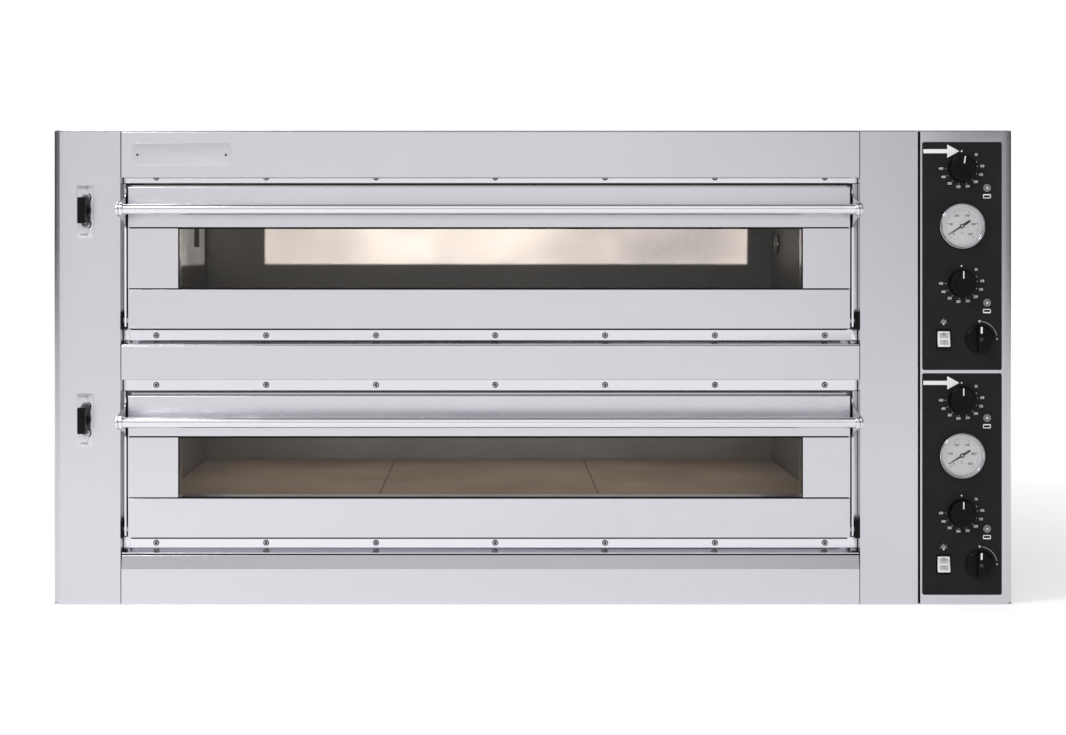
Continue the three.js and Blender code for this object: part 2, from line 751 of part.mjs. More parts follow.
const ARM_OUTER = {
  left: DOOR_LEFT - ARM_GAP - ARM_THICKNESS,
  right: DOOR_RIGHT + ARM_GAP + ARM_THICKNESS,
};
const BAR_Y = FRONT - BAR_DISTANCE;

// Side plate in side view: a strip up the side of the door, drawn out to a round tip about the bar
function armOutline(rise) {
  const bar = DOOR_TOP - BAR_DROP + rise;
  const bottom = DOOR_BOTTOM + 3 + rise;
  const top = DOOR_TOP - 4 + rise;
  const back = DOOR_FACE + ARM_DEPTH;
  const tangent = THREE.MathUtils.degToRad(80);
  const tipY = BAR_Y + ARM_TIP_RADIUS * Math.cos(tangent);
  const tipZ = ARM_TIP_RADIUS * Math.sin(tangent);
  const shape = new THREE.Shape();
  shape.moveTo(back, bottom);
  shape.lineTo(back, top);
  shape.lineTo(DOOR_FACE, top);
  shape.lineTo(DOOR_FACE, bar + ARM_ROOT.above);
  shape.bezierCurveTo(DOOR_FACE - 6, bar + 20, DOOR_FACE - 30, bar + 16, tipY, bar + tipZ);
  shape.absarc(BAR_Y, bar, ARM_TIP_RADIUS, tangent, 2 * Math.PI - tangent, false);
  shape.bezierCurveTo(DOOR_FACE - 30, bar - 15, DOOR_FACE - 6, bar - 20, DOOR_FACE, bar - ARM_ROOT.below);
  shape.lineTo(DOOR_FACE, bottom);
  return shape;
}

// side is -1 for the left arm and 1 for the right one
function handleArm(side, rise) {
  const outer = side < 0 ? ARM_OUTER.left : ARM_OUTER.right;
  const across = (from, to, y, z, radius) =>
    rodAlongX(Math.min(from, to), Math.max(from, to), y, z, radius, 20);
  const inner = outer - side * ARM_THICKNESS;
  const plate = crosswiseExtrusion(armOutline(rise), Math.min(outer, inner), Math.max(outer, inner));
  const hinge = across(outer + side, inner - side, HINGE_Y, HINGE_Z + rise, TRUNNION_RADIUS + CLEARANCE);
  const capEnd = outer + side * CAP_THICKNESS;
  const cap = across(outer - side, capEnd, BAR_Y, DOOR_TOP - BAR_DROP + rise, BAR_RADIUS - 1);
  const spacers = [DOOR_BOTTOM + 50, DOOR_TOP - BAR_DROP].map((height) =>
    across(inner + side, inner - side * (ARM_GAP - CLEARANCE), HINGE_Y + 4, height + rise, 5),
  );
  return join(cut(plate, hinge), cap, ...spacers);
}

// Round tube with a collar at each end, between the arms
function handleBar() {
  const half = (ARM_OUTER.right - ARM_OUTER.left) / 2 - ARM_THICKNESS - CLEARANCE;
  const collar = ARM_TIP_RADIUS - 0.6;
  const bore = BAR_RADIUS - SHEET;
  const profile = [
    [bore, -half],
    [collar, -half],
    [collar, -half + COLLAR_LENGTH],
    [BAR_RADIUS, -half + COLLAR_LENGTH],
    [BAR_RADIUS, half - COLLAR_LENGTH],
    [collar, half - COLLAR_LENGTH],
    [collar, half],
    [bore, half],
    [bore, -half],
  ];
  return turnedAlongX(profile, 20);
}

for (const { name, rise } of DECKS) {
  const barMiddle = (ARM_OUTER.left + ARM_OUTER.right) / 2;
  add(`${name}_door_frame`, doorFrame(rise), stainless());
  add(`${name}_door_top_panel`, doorTopPanel(rise), stainless());
  add(`${name}_door_bottom_panel`, doorBottomPanel(rise), stainless());
  add(`${name}_door_glass`, doorGlass(rise), ceramicGlass());
  add(`${name}_handle_bar`, handleBar(), polishedSteel(), [barMiddle, BAR_Y, DOOR_TOP - BAR_DROP + rise]);
  add(`${name}_handle_arm_left`, handleArm(-1, rise), polishedSteel());
  add(`${name}_handle_arm_right`, handleArm(1, rise), polishedSteel());
}

// ---------------------------------------------------------------------------
// Steam vents
// ---------------------------------------------------------------------------

const VENT_ROD_RADIUS = 3.5;
const VENT_ROD_FRONT = FRONT - 8;

// Long lever on a cross pin, with the flap that covers the duct on its rear arm
function ventLever(rise) {
  const z = VENT_HEIGHT + rise;
  const { above, thickness, overlap, reach } = VENT_FLAP;
  const flapBottom = VENT_DUCT.top + above + rise;
  const rod = rodAlongY(VENT_X, VENT_ROD_FRONT, VENT_FLAP_Y, z, VENT_ROD_RADIUS, 10);
  const pin = rodAlongX(VENT_X - VENT_PIN.length, VENT_X, VENT_PIVOT_Y, z, VENT_PIN.radius);
  const flap = box(
    VENT_DUCT.left - overlap, VENT_X + reach,
    DUCT_Y.front - overlap, DUCT_Y.back + overlap,
    flapBottom, flapBottom + thickness,
  );
  const post = box(VENT_X - 3, VENT_X + 3, VENT_FLAP_Y - 8, VENT_FLAP_Y, flapBottom + 1, z);
  return join(rod, pin, flap, post);
}

// Moulded knob on the front end of the lever: a round hub and a wing that stands up from it
function ventKnob(rise) {
  const z = VENT_HEIGHT + rise;
  const hubBack = FRONT - 4;
  const wingBack = FRONT - 12;
  const wingFront = FRONT - 32;
  const hubRadius = 10.2;
  const wingCorner = 1.6;
  const side = 6 - wingCorner;
  const bottom = z - 19.5 + wingCorner;
  const top = z + 21.5 - wingCorner;
  const wing = polygon([
    ...arcPoints(VENT_X - side, bottom, wingCorner, 180, 270, 2),
    ...arcPoints(VENT_X + side, bottom, wingCorner, 270, 360, 2),
    ...arcPoints(VENT_X + side, top, wingCorner, 0, 90, 2),
    ...arcPoints(VENT_X - side, top, wingCorner, 90, 180, 2),
  ]);
  const hub = rodAlongY(VENT_X, wingBack - 1, hubBack, z, hubRadius, 20);
  const boreFront = VENT_ROD_FRONT - CLEARANCE;
  const bore = rodAlongY(VENT_X, boreFront, hubBack + 1, z, VENT_ROD_RADIUS + CLEARANCE, 10);
  return cut(join(forwardExtrusion(wing, wingFront, wingBack), hub), bore);
}

for (const { name, rise } of DECKS) {
  add(`${name}_vent_lever`, ventLever(rise), galvanised());
  add(`${name}_vent_knob`, ventKnob(rise), blackPlastic());
}

// ---------------------------------------------------------------------------
// Control panels
// ---------------------------------------------------------------------------

const THERMOSTAT = { width: 38, height: 48, front: FRONT + 4, back: FRONT + 40 };
const GAUGE_BODY_RADIUS = 31;
const GAUGE_DEPTH = 34;
const GAUGE_BEZEL = 8;
const GAUGE_DIAL = 2.5; // dial plane in front of the panel

function controlPanel({ bottom, top, topKnob, gauge, bottomKnob, switches }) {
  const corner = 3;
  const outline = [
    ...arcPoints(PANEL_LEFT + corner, bottom + corner, corner, 180, 270, 3),
    ...arcPoints(PANEL_RIGHT - corner, bottom + corner, corner, 270, 360, 3),
    ...arcPoints(PANEL_RIGHT - corner, top - corner, corner, 0, 90, 3),
    ...arcPoints(PANEL_LEFT + corner, top - corner, corner, 90, 180, 3),
  ];
  const plate = forwardExtrusion(polygon(outline), PANEL_FACE, PANEL_FACE + PANEL_THICKNESS);
  const through = (x, z, radius) => rodAlongY(x, FRONT - THROUGH, FRONT + THROUGH, z, radius, 20);
  const rockerGap = { side: 0.5, end: 1.8 };
  const rockerHole = box(
    ROCKER_X - ROCKER.width / 2 - rockerGap.side, ROCKER_X + ROCKER.width / 2 + rockerGap.side,
    FRONT - THROUGH, FRONT + THROUGH,
    switches - ROCKER.height / 2 - rockerGap.end, switches + ROCKER.height / 2 + rockerGap.end,
  );
  return cut(
    plate,
    through(KNOB_X, topKnob, SHAFT_RADIUS + 1),
    through(KNOB_X, bottomKnob, SHAFT_RADIUS + 1),
    through(ROTARY_X, switches, SHAFT_RADIUS + 1),
    through(KNOB_X, gauge, GAUGE_BODY_RADIUS + CLEARANCE),
    rockerHole,
  );
}

// Round knob with a skirt and a shaft. Its origin is on the face of the panel.
function thermostatKnob() {
  const profile = [
    [0, -SHAFT_LENGTH],
    [SHAFT_RADIUS, -SHAFT_LENGTH],
    [SHAFT_RADIUS, 1],
    [KNOB_RADIUS, 1],
    [KNOB_RADIUS, 3],
    [KNOB_RADIUS - 0.8, 4],
    [KNOB_RADIUS - 1.4, KNOB_HEIGHT - 1.5],
    [KNOB_RADIUS - 3, KNOB_HEIGHT],
    [0, KNOB_HEIGHT],
  ];
  return turned(profile);
}

function thermostatBody(height) {
  const { width, height: tall, front, back } = THERMOSTAT;
  const body = box(
    KNOB_X - width / 2, KNOB_X + width / 2,
    front, back,
    height - tall / 2, height + tall / 2,
  );
  return cut(body, rodAlongY(KNOB_X, front - 1, front + 12, height, SHAFT_RADIUS + CLEARANCE, 16));
}

// Round base with a grip bar across it, and a shaft
function rotaryKnob() {
  const baseTop = 6;
  const gripFront = 14;
  const gripRadius = 4.8;
  const base = turned([
    [0, -SHAFT_LENGTH],
    [SHAFT_RADIUS, -SHAFT_LENGTH],
    [SHAFT_RADIUS, 1],
    [ROTARY_RADIUS, 1],
    [ROTARY_RADIUS, baseTop - 2],
    [ROTARY_RADIUS - 2, baseTop],
    [0, baseTop],
  ]);
  const grip = new THREE.Shape();
  const half = ROTARY_RADIUS - 1.5 - gripRadius;
  grip.absarc(0, -half, gripRadius, Math.PI, 2 * Math.PI, false);
  grip.absarc(0, half, gripRadius, 0, Math.PI, false);
  return join(base, forwardExtrusion(grip, -gripFront, 1 - baseTop));
}

// Rocker with a shallow V front, shown with its upper half pressed. Its origin is its pivot.
function lampRocker() {
  const { front, back } = ROCKER;
  const half = ROCKER.height / 2;
  const taper = 2; // of the back, at each end
  const rise = half * Math.tan(THREE.MathUtils.degToRad(7));
  const section = polygon([
    [back, -half + taper],
    [back, half - taper],
    [1.5 - front, half],
    [-front, 0],
    [-front - 2 * rise, -half],
  ]);
  return crosswiseExtrusion(section, -ROCKER.width / 2, ROCKER.width / 2);
}

// Round case with a raised bezel and a sunk dial. Its origin is on the face of the panel.
function thermometerCase() {
  const rim = THERMOMETER_RADIUS;
  return turned([
    [0, -GAUGE_DEPTH],
    [GAUGE_BODY_RADIUS, -GAUGE_DEPTH],
    [GAUGE_BODY_RADIUS, 0.4],
    [rim, 0.4],
    [rim, GAUGE_BEZEL - 2],
    [rim - 1.5, GAUGE_BEZEL],
    [rim - 4, GAUGE_BEZEL],
    [rim - 5, GAUGE_DIAL],
    [0, GAUGE_DIAL],
  ], 28);
}

// Pointer at the cold end of the scale, with a tail behind its hub
function thermometerNeedle() {
  const coldAngle = THREE.MathUtils.degToRad(-122.5);
  const length = 25;
  const tail = 15.7;
  const pointer = polygon([
    [-1.3, 0],
    [-1.7, -tail],
    [1.7, -tail],
    [1.3, 0],
    [0.45, length],
    [-0.45, length],
  ]);
  const hubRadius = 3.6;
  const hubProfile = [
    [0, 0.3],
    [hubRadius, 0.3],
    [hubRadius, 2],
    [0, 2],
  ];
  const blade = forwardExtrusion(pointer, -1.2, -0.4);
  const hub = turned(hubProfile, 16);
  return join(blade, hub).rotateY(coldAngle);
}

for (const [deck, panel] of Object.entries(PANELS)) {
  const switches = [ROTARY_X, PANEL_FACE, panel.switches];
  const gauge = [KNOB_X, PANEL_FACE, panel.gauge];
  const dialFace = [KNOB_X, PANEL_FACE - GAUGE_DIAL, panel.gauge];
  add(`${deck}_control_panel`, controlPanel(panel), panelBlack());
  for (const [heat, height] of [['top', panel.topKnob], ['bottom', panel.bottomKnob]]) {
    add(`${deck}_${heat}_heat_knob`, thermostatKnob(), blackPlastic(), [KNOB_X, PANEL_FACE, height]);
    add(`${deck}_${heat}_thermostat`, thermostatBody(height), blackPlastic());
  }
  add(`${deck}_power_knob`, rotaryKnob(), blackPlastic(), switches);
  add(`${deck}_lamp_rocker`, lampRocker(), whitePlastic(), [ROCKER_X, FRONT + 2, panel.switches]);
  add(`${deck}_thermometer`, thermometerCase(), polishedSteel(), gauge);
  add(`${deck}_thermometer_needle`, thermometerNeedle(), gaugeBlack(), dialFace);
}

export default oven;
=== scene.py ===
"""Looks of a countertop pizza oven with two baking decks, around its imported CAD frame.

Metres. X runs to the right seen from the front, the front faces -Y, Z is up.
"""

import json
import math

import bmesh
import bpy
from mathutils import Matrix, Vector


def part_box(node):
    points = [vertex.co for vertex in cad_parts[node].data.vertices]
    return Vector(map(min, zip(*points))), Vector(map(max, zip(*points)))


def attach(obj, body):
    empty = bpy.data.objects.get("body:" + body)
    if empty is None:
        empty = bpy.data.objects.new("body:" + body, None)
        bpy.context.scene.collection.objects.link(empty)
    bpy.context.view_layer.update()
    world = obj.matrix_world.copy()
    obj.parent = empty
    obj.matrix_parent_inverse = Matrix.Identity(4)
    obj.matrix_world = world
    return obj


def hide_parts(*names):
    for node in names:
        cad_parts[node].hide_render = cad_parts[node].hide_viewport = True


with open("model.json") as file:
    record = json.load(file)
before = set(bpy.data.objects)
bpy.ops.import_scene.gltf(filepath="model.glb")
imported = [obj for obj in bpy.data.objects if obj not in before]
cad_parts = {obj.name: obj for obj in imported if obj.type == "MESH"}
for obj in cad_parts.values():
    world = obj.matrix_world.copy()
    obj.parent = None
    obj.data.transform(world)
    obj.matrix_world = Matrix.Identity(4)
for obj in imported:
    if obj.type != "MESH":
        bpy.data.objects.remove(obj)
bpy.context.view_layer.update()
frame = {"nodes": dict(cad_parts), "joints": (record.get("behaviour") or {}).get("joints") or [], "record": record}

MM = 0.001
DECKS = ("lower", "upper")
RECESS = 22 * MM  # of the trims behind the front

# ---------------------------------------------------------------------------
# Places taken from the frame
# ---------------------------------------------------------------------------

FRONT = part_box("top_fascia")[0].y
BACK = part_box("back_panel")[1].y


def middle(node):
    """Centre of a CAD node's box."""
    low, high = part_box(node)
    return (low + high) / 2


def joint_place(name):
    return Vector(next(j for j in frame["joints"] if j["name"] == name)["pos_m"])


def recess_gaps(deck):
    """Start and end, along X, of the two gaps between the columns and the arms of a door."""
    return (
        (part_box("left_casing")[1].x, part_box(f"{deck}_handle_arm_left")[0].x),
        (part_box(f"{deck}_handle_arm_right")[1].x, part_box("right_post")[0].x),
    )


# ---------------------------------------------------------------------------
# Materials
# ---------------------------------------------------------------------------


class Finish:
    """A material under construction, with short calls for its nodes."""

    def __init__(self, name):
        self.material = bpy.data.materials.new(name)
        self.material.use_nodes = True
        self.tree = self.material.node_tree
        self.surface = self.tree.nodes["Principled BSDF"]
        self.place = self.node("ShaderNodeTexCoord").outputs["Object"]

    def node(self, kind, inputs=None, **settings):
        node = self.tree.nodes.new(kind)
        for key, value in settings.items():
            setattr(node, key, value)
        for socket, value in (inputs or {}).items():
            self.connect(value, node.inputs[socket])
        return node

    def connect(self, value, socket):
        if isinstance(value, bpy.types.NodeSocket):
            self.tree.links.new(value, socket)
        else:
            socket.default_value = value

    def set(self, **values):
        """Sets sockets of the surface; underscores stand for the spaces in their names."""
        for name, value in values.items():
            self.connect(value, self.surface.inputs[name.replace("_", " ")])
        return self

    def stretched(self, x, y, z):
        """Object coordinates scaled separately along the axes, for grain."""
        mapping = self.node("ShaderNodeMapping", {"Vector": self.place, "Scale": (x, y, z)})
        return mapping.outputs["Vector"]

    def noise(self, vector=None, scale=1.0, detail=2.0, roughness=0.5):
        inputs = {
            "Vector": vector or self.place,
            "Scale": scale,
            "Detail": detail,
            "Roughness": roughness,
        }
        return self.node("ShaderNodeTexNoise", inputs).outputs["Fac"]

    def spread(self, value, low, high, start=0.3, end=0.7):
        """Maps a value between start and end onto low to high."""
        inputs = {"Value": value, "From Min": start, "From Max": end, "To Min": low, "To Max": high}
        return self.node("ShaderNodeMapRange", inputs).outputs["Result"]

    def ramp(self, value, *stops):
        """Colour ramp; each stop is (position, (r, g, b))."""
        ramp = self.node("ShaderNodeValToRGB", {"Fac": value})
        elements = ramp.color_ramp.elements
        while len(elements) < len(stops):
            elements.new(0.5)
        for element, (position, color) in zip(elements, stops):
            element.position = position
            element.color = (*color, 1.0)
        return ramp.outputs["Color"]

    def mix(self, factor, first, second):
        mix = self.node("ShaderNodeMix", data_type="RGBA")
        self.connect(factor, mix.inputs[0])
        self.connect(first, mix.inputs[6])
        self.connect(second, mix.inputs[7])
        return mix.outputs[2]

    def math(self, operation, first, second=0.0):
        node = self.node("ShaderNodeMath", operation=operation)
        self.connect(first, node.inputs[0])
        self.connect(second, node.inputs[1])
        return node.outputs[0]

    def bump(self, height, strength, distance, under=None):
        inputs = {"Height": height, "Strength": strength, "Distance": distance}
        if under is not None:
            inputs["Normal"] = under
        return self.node("ShaderNodeBump", inputs).outputs["Normal"]


def grey(level):
    return (level, level, level)


def brushed_steel(name, grain, level, roughness):
    """Brushed sheet. The grain vector holds the scale along each axis, low along the brushing."""
    finish = Finish(name)
    fine = finish.noise(finish.stretched(*grain), 1.0, 2.0, 0.6)
    broad = finish.noise(scale=3.0, detail=3.0)
    smudge = finish.noise(scale=14.0, detail=5.0, roughness=0.65)
    dark = (level - 0.012, level - 0.018, level + 0.02)
    light = (level + 0.012, level + 0.006, level + 0.044)
    handled = finish.spread(smudge, -0.01, 0.02, 0.4, 0.75)
    wear = finish.math("ADD", finish.spread(broad, -0.012, 0.018), handled)
    finish.set(
        Base_Color=finish.ramp(fine, (0.3, dark), (0.7, light)),
        Metallic=1.0,
        Roughness=finish.math("ADD", finish.spread(fine, roughness - 0.02, roughness + 0.02), wear),
        Normal=finish.bump(fine, 0.06, 0.0001),
    )
    return finish.material


def two_tone(name, dark, light, roughness, scale):
    """A finish of two close tones, with the noise that sets the tone and the roughness."""
    finish = Finish(name)
    tone = finish.noise(scale=scale, detail=3.0)
    finish.set(
        Base_Color=finish.ramp(tone, (0.3, dark), (0.7, light)),
        Roughness=finish.spread(tone, *roughness),
    )
    return finish, tone


def black_plastic():
    """Moulded satin plastic with a fine spark-eroded texture."""
    finish, _ = two_tone(
        "moulded_black", (0.0022, 0.0022, 0.0024), (0.004, 0.004, 0.0044), (0.32, 0.42), 60.0
    )
    texture = finish.noise(scale=1800.0)
    return finish.set(Specular_IOR_Level=0.11, Normal=finish.bump(texture, 0.15, 0.0001)).material


def panel_paint():
    """Satin black front of a control panel."""
    finish = Finish("panel_paint")
    fine = finish.noise(scale=1200.0)
    broad = finish.noise(scale=20.0, detail=4.0)
    finish.set(
        Base_Color=finish.ramp(broad, (0.3, (0.017, 0.017, 0.0178)), (0.7, (0.021, 0.021, 0.022))),
        Roughness=finish.spread(broad, 0.55, 0.65),
        Specular_IOR_Level=0.04,
        Normal=finish.bump(fine, 0.1, 0.0001),
    )
    return finish.material


def white_plastic():
    finish, tone = two_tone("rocker_plastic", (0.80, 0.80, 0.78), (0.86, 0.86, 0.84), (0.22, 0.32), 90.0)
    return finish.set(Normal=finish.bump(tone, 0.03, 0.0001)).material


def recessed_plastic():
    """Greyer field moulded into a white key."""
    return two_tone("recessed_plastic", grey(0.44), grey(0.50), (0.35, 0.45), 120.0)[0].material


def printing():
    """White screen printing."""
    return two_tone("white_printing", grey(0.80), grey(0.9), (0.45, 0.6), 900.0)[0].material


def pilot_glass():
    """Smoked lens of a pilot lamp that is off."""
    return two_tone("pilot_glass", (0.17, 0.17, 0.175), (0.23, 0.23, 0.235), (0.12, 0.2), 300.0)[0].material


def dial_face():
    return two_tone("dial_face", (0.78, 0.78, 0.79), (0.84, 0.84, 0.85), (0.38, 0.5), 700.0)[0].material


def needle_paint():
    return two_tone("needle_paint", grey(0.012), grey(0.02), (0.4, 0.55), 900.0)[0].material


def gasket():
    finish, tone = two_tone("seal_rubber", grey(0.003), grey(0.007), (0.55, 0.75), 500.0)
    return finish.set(Specular_IOR_Level=0.15, Normal=finish.bump(tone, 0.2, 0.0002)).material


def baking_stone():
    """Unglazed fire clay: warm tan with darker scorch marks and fine pits."""
    finish = Finish("fire_clay")
    broad = finish.noise(scale=5.0, detail=4.0)
    grain = finish.noise(scale=160.0, detail=4.0, roughness=0.7)
    pits = finish.node("ShaderNodeTexVoronoi", {"Vector": finish.place, "Scale": 210.0}).outputs["Distance"]
    tones = ((0.3, (0.23, 0.165, 0.115)), (0.55, (0.31, 0.235, 0.17)), (0.75, (0.36, 0.28, 0.21)))
    clay = finish.ramp(broad, *tones)
    speckled = finish.mix(finish.spread(grain, 0.0, 0.45, 0.45, 0.75), clay, (0.16, 0.12, 0.09, 1.0))
    finish.set(
        Base_Color=speckled,
        Roughness=finish.spread(grain, 0.82, 0.95),
        Normal=finish.bump(grain, 0.4, 0.0006, finish.bump(pits, 0.25, 0.0008)),
    )
    return finish.material


def chamber_sheet():
    """Aluminised sheet with baked-on heat tint."""
    finish = Finish("chamber_lining")
    broad = finish.noise(scale=6.0, detail=5.0)
    spangle = finish.noise(scale=90.0, detail=3.0)
    finish.set(
        Base_Color=finish.mix(
            finish.spread(spangle, 0.0, 0.35),
            finish.ramp(broad, (0.3, (0.30, 0.28, 0.26)), (0.7, (0.42, 0.41, 0.40))),
            (0.33, 0.29, 0.25, 1.0),
        ),
        Metallic=1.0,
        Roughness=finish.spread(broad, 0.4, 0.55),
        Normal=finish.bump(spangle, 0.1, 0.0004),
    )
    return finish.material


def galvanised():
    """Zinc-coated sheet with its spangle."""
    finish = Finish("zinc_spangle")
    cells = finish.node("ShaderNodeTexVoronoi", {"Vector": finish.place, "Scale": 120.0}).outputs["Color"]
    level = finish.node("ShaderNodeRGBToBW", {"Color": cells}).outputs["Val"]
    broad = finish.noise(scale=8.0, detail=4.0)
    dulled = finish.spread(broad, -0.03, 0.04)
    finish.set(
        Base_Color=finish.ramp(level, (0.1, (0.46, 0.47, 0.48)), (0.9, (0.60, 0.61, 0.62))),
        Metallic=1.0,
        Roughness=finish.math("ADD", finish.spread(level, 0.38, 0.5, 0.1, 0.9), dulled),
        Normal=finish.bump(level, 0.05, 0.0003),
    )
    return finish.material


def heater_sheath():
    """Oxidised sheath with brown and blue heat tint."""
    finish = Finish("oxidised_sheath")
    broad = finish.noise(scale=16.0, detail=5.0)
    finish.set(
        Base_Color=finish.ramp(
            broad, (0.3, (0.10, 0.085, 0.075)), (0.5, (0.15, 0.12, 0.10)), (0.7, (0.13, 0.13, 0.15))
        ),
        Metallic=0.8,
        Roughness=finish.spread(broad, 0.45, 0.65),
        Normal=finish.bump(broad, 0.1, 0.0003),
    )
    return finish.material


def wool():
    finish = Finish("wool_slab")
    fibres = finish.noise(finish.stretched(60.0, 400.0, 400.0), 1.0, 5.0, 0.7)
    finish.set(
        Base_Color=finish.ramp(fibres, (0.3, (0.42, 0.36, 0.20)), (0.7, (0.60, 0.54, 0.36))),
        Roughness=finish.spread(fibres, 0.9, 1.0),
        Normal=finish.bump(fibres, 0.6, 0.002),
    )
    return finish.material


def clear_glass(name, tint, ior):
    """Coated glass with a faint haze of handling marks."""
    finish = Finish(name)
    haze = finish.noise(scale=9.0, detail=5.0, roughness=0.6)
    finish.set(
        Base_Color=(*tint, 1.0),
        Roughness=finish.spread(haze, 0.0, 0.02, 0.35, 0.8),
        IOR=ior,
        Transmission_Weight=1.0,
    )
    return finish.material


MATERIALS = {
    "stainless_sheet": brushed_steel("brushed_across", (12.0, 2600.0, 2600.0), 0.595, 0.24),
    "polished_stainless": brushed_steel("polished_steel", (12.0, 2600.0, 2600.0), 0.68, 0.13),
    "galvanised_sheet": galvanised(),
    "chamber_sheet": chamber_sheet(),
    "heater_sheath": heater_sheath(),
    "baking_stone": baking_stone(),
    "mineral_wool": wool(),
    "black_knob": black_plastic(),
    "panel_black": panel_paint(),
    "rocker_white": white_plastic(),
    "needle_black": needle_paint(),
    "door_glass": clear_glass("oven_glass", (0.93, 0.93, 0.93), 1.2),
    "printed_white": printing(),
    "gauge_face": dial_face(),
    "clear_lens": clear_glass("lens_glass", (0.98, 0.98, 0.98), 1.3),
    "gasket_black": gasket(),
}
PILOT_GLASS = pilot_glass()
RECESSED_PLASTIC = recessed_plastic()
# Brushing runs upright; its level, a little below the sheet's, is painted shade on the columns and the other
# upright parts
SHADED_UPRIGHT_STEEL = brushed_steel("shaded_upright_steel", (2600.0, 2600.0, 12.0), 0.575, 0.24)

SLOT_OF = {part["node"]: part["material_slot"] for part in frame["record"]["subparts"]}
UPRIGHT_GRAIN = ("left_casing", "right_post", "control_casing")

for node, obj in frame["nodes"].items():
    material = SHADED_UPRIGHT_STEEL if node in UPRIGHT_GRAIN else MATERIALS[SLOT_OF[node]]
    obj.data.materials.clear()
    obj.data.materials.append(material)

# ---------------------------------------------------------------------------
# Mesh helpers
# ---------------------------------------------------------------------------

BODY_OF = {node: body for body, nodes in frame["record"]["behaviour"]["bodies"].items() for node in nodes}


def axes(x, y, z):
    """Rotation whose columns are the given directions."""
    return Matrix((x, y, z)).transposed().to_4x4()


# Local x and y are drawn on, local z points where the name says
FORWARD = axes((1, 0, 0), (0, 0, 1), (0, -1, 0))
BACKWARD = axes((-1, 0, 0), (0, 0, 1), (0, 1, 0))
RIGHTWARD = axes((0, 1, 0), (0, 0, 1), (1, 0, 0))
UPWARD = Matrix.Identity(4)


def at(x, y, z, facing=FORWARD):
    return Matrix.Translation((x, y, z)) @ facing


def moved(place, u, v, w=0.0, clock=0.0):
    """A place moved along its own axes, then turned clockwise by an angle in degrees."""
    return place @ Matrix.Translation((u, v, w)) @ Matrix.Rotation(-math.radians(clock), 4, "Z")


def clockwise(degrees, radius):
    """Point at a clock angle, in local x and y."""
    angle = math.radians(degrees)
    return radius * math.sin(angle), radius * math.cos(angle)


def loft(bm, rings, looped=False):
    """Skins rings of equal length. An open run of rings is capped at both ends."""
    loops = [[bm.verts.new(point) for point in ring] for ring in rings]
    pairs = list(zip(loops, loops[1:]))
    if looped:
        pairs.append((loops[-1], loops[0]))
    for first, second in pairs:
        for i in range(len(first)):
            j = (i + 1) % len(first)
            bm.faces.new((first[i], first[j], second[j], second[i]))
    if not looped:
        bm.faces.new(loops[0])
        bm.faces.new(loops[-1])


def rounded_rectangle(width, height, radius, steps=6):
    """Outline of a rounded rectangle, as a function of how far it is drawn in."""

    def outline(inset=0.0):
        r = max(radius - inset, 0.00002)
        u = width / 2 - inset - r
        v = height / 2 - inset - r
        signs = ((1, 1), (-1, 1), (-1, -1), (1, -1))
        points = []
        for quarter, (su, sv) in enumerate(signs):
            for k in range(steps + 1):
                angle = (quarter + k / steps) * math.pi / 2
                points.append((su * u + r * math.cos(angle), sv * v + r * math.sin(angle)))
        return points

    return outline


def circle(radius, segments=28):
    def outline(inset=0.0):
        r = radius - inset
        turns = [2 * math.pi * k / segments for k in range(segments)]
        return [(r * math.cos(a), r * math.sin(a)) for a in turns]

    return outline


def plate(bm, place, outline, depth, edge=0.0003, base=0.0):
    """A plate from base to base + depth along local z, with its front edge rounded."""
    steps = 4
    top = base + depth
    levels = [(0.0, base)]
    for k in range(steps + 1):
        angle = math.pi / 2 * k / steps
        levels.append((edge * (1 - math.cos(angle)), top - edge + edge * math.sin(angle)))
    loft(bm, [[place @ Vector((u, v, w)) for u, v in outline(inset)] for inset, w in levels])


def ring_plate(bm, place, outer, inner, depth, edge=0.0003, base=0.0):
    """A flat ring between two outlines with the same number of points."""
    top = base + depth
    levels = [
        (outer(0.0), base),
        (outer(0.0), top - edge),
        (outer(edge * 0.3), top - edge * 0.3),
        (outer(edge), top),
        (inner(-edge), top),
        (inner(-edge * 0.3), top - edge * 0.3),
        (inner(0.0), top - edge),
        (inner(0.0), base),
    ]
    loft(bm, [[place @ Vector((u, v, w)) for u, v in points] for points, w in levels], looped=True)


def filleted(points, radius, steps=4):
    """An open profile with its corners rounded."""
    result = [points[0]]
    for before, corner, after in zip(points, points[1:], points[2:]):
        middle_point = Vector(corner)
        back = Vector(before) - middle_point
        ahead = Vector(after) - middle_point
        reach = min(radius, back.length * 0.45, ahead.length * 0.45)
        start = middle_point + back.normalized() * reach
        end = middle_point + ahead.normalized() * reach
        for k in range(steps + 1):
            t = k / steps
            point = start * (1 - t) ** 2 + middle_point * (2 * t * (1 - t)) + end * t**2
            result.append(tuple(point))
    result.append(points[-1])
    return result


def lathe(bm, place, profile, segments=48, looped=False):
    """Turns (radius, height) pairs, in millimetres, about local z."""
    turns = [2 * math.pi * k / segments for k in range(segments)]
    rings = []
    for radius, height in profile:
        r, h = max(radius, 0.02) * MM, height * MM
        rings.append([place @ Vector((r * math.cos(a), r * math.sin(a), h)) for a in turns])
    loft(bm, rings, looped)


def tube(bm, path, radius):
    """Round tube along a path that stays in one horizontal plane."""
    up = Vector((0, 0, 1))
    sides = 14
    rings = []
    for i, point in enumerate(path):
        along = path[min(i + 1, len(path) - 1)] - path[max(i - 1, 0)]
        side = along.normalized().cross(up)
        turns = [2 * math.pi * k / sides for k in range(sides)]
        rings.append([point + side * radius * math.cos(a) + up * radius * math.sin(a) for a in turns])
    loft(bm, rings)


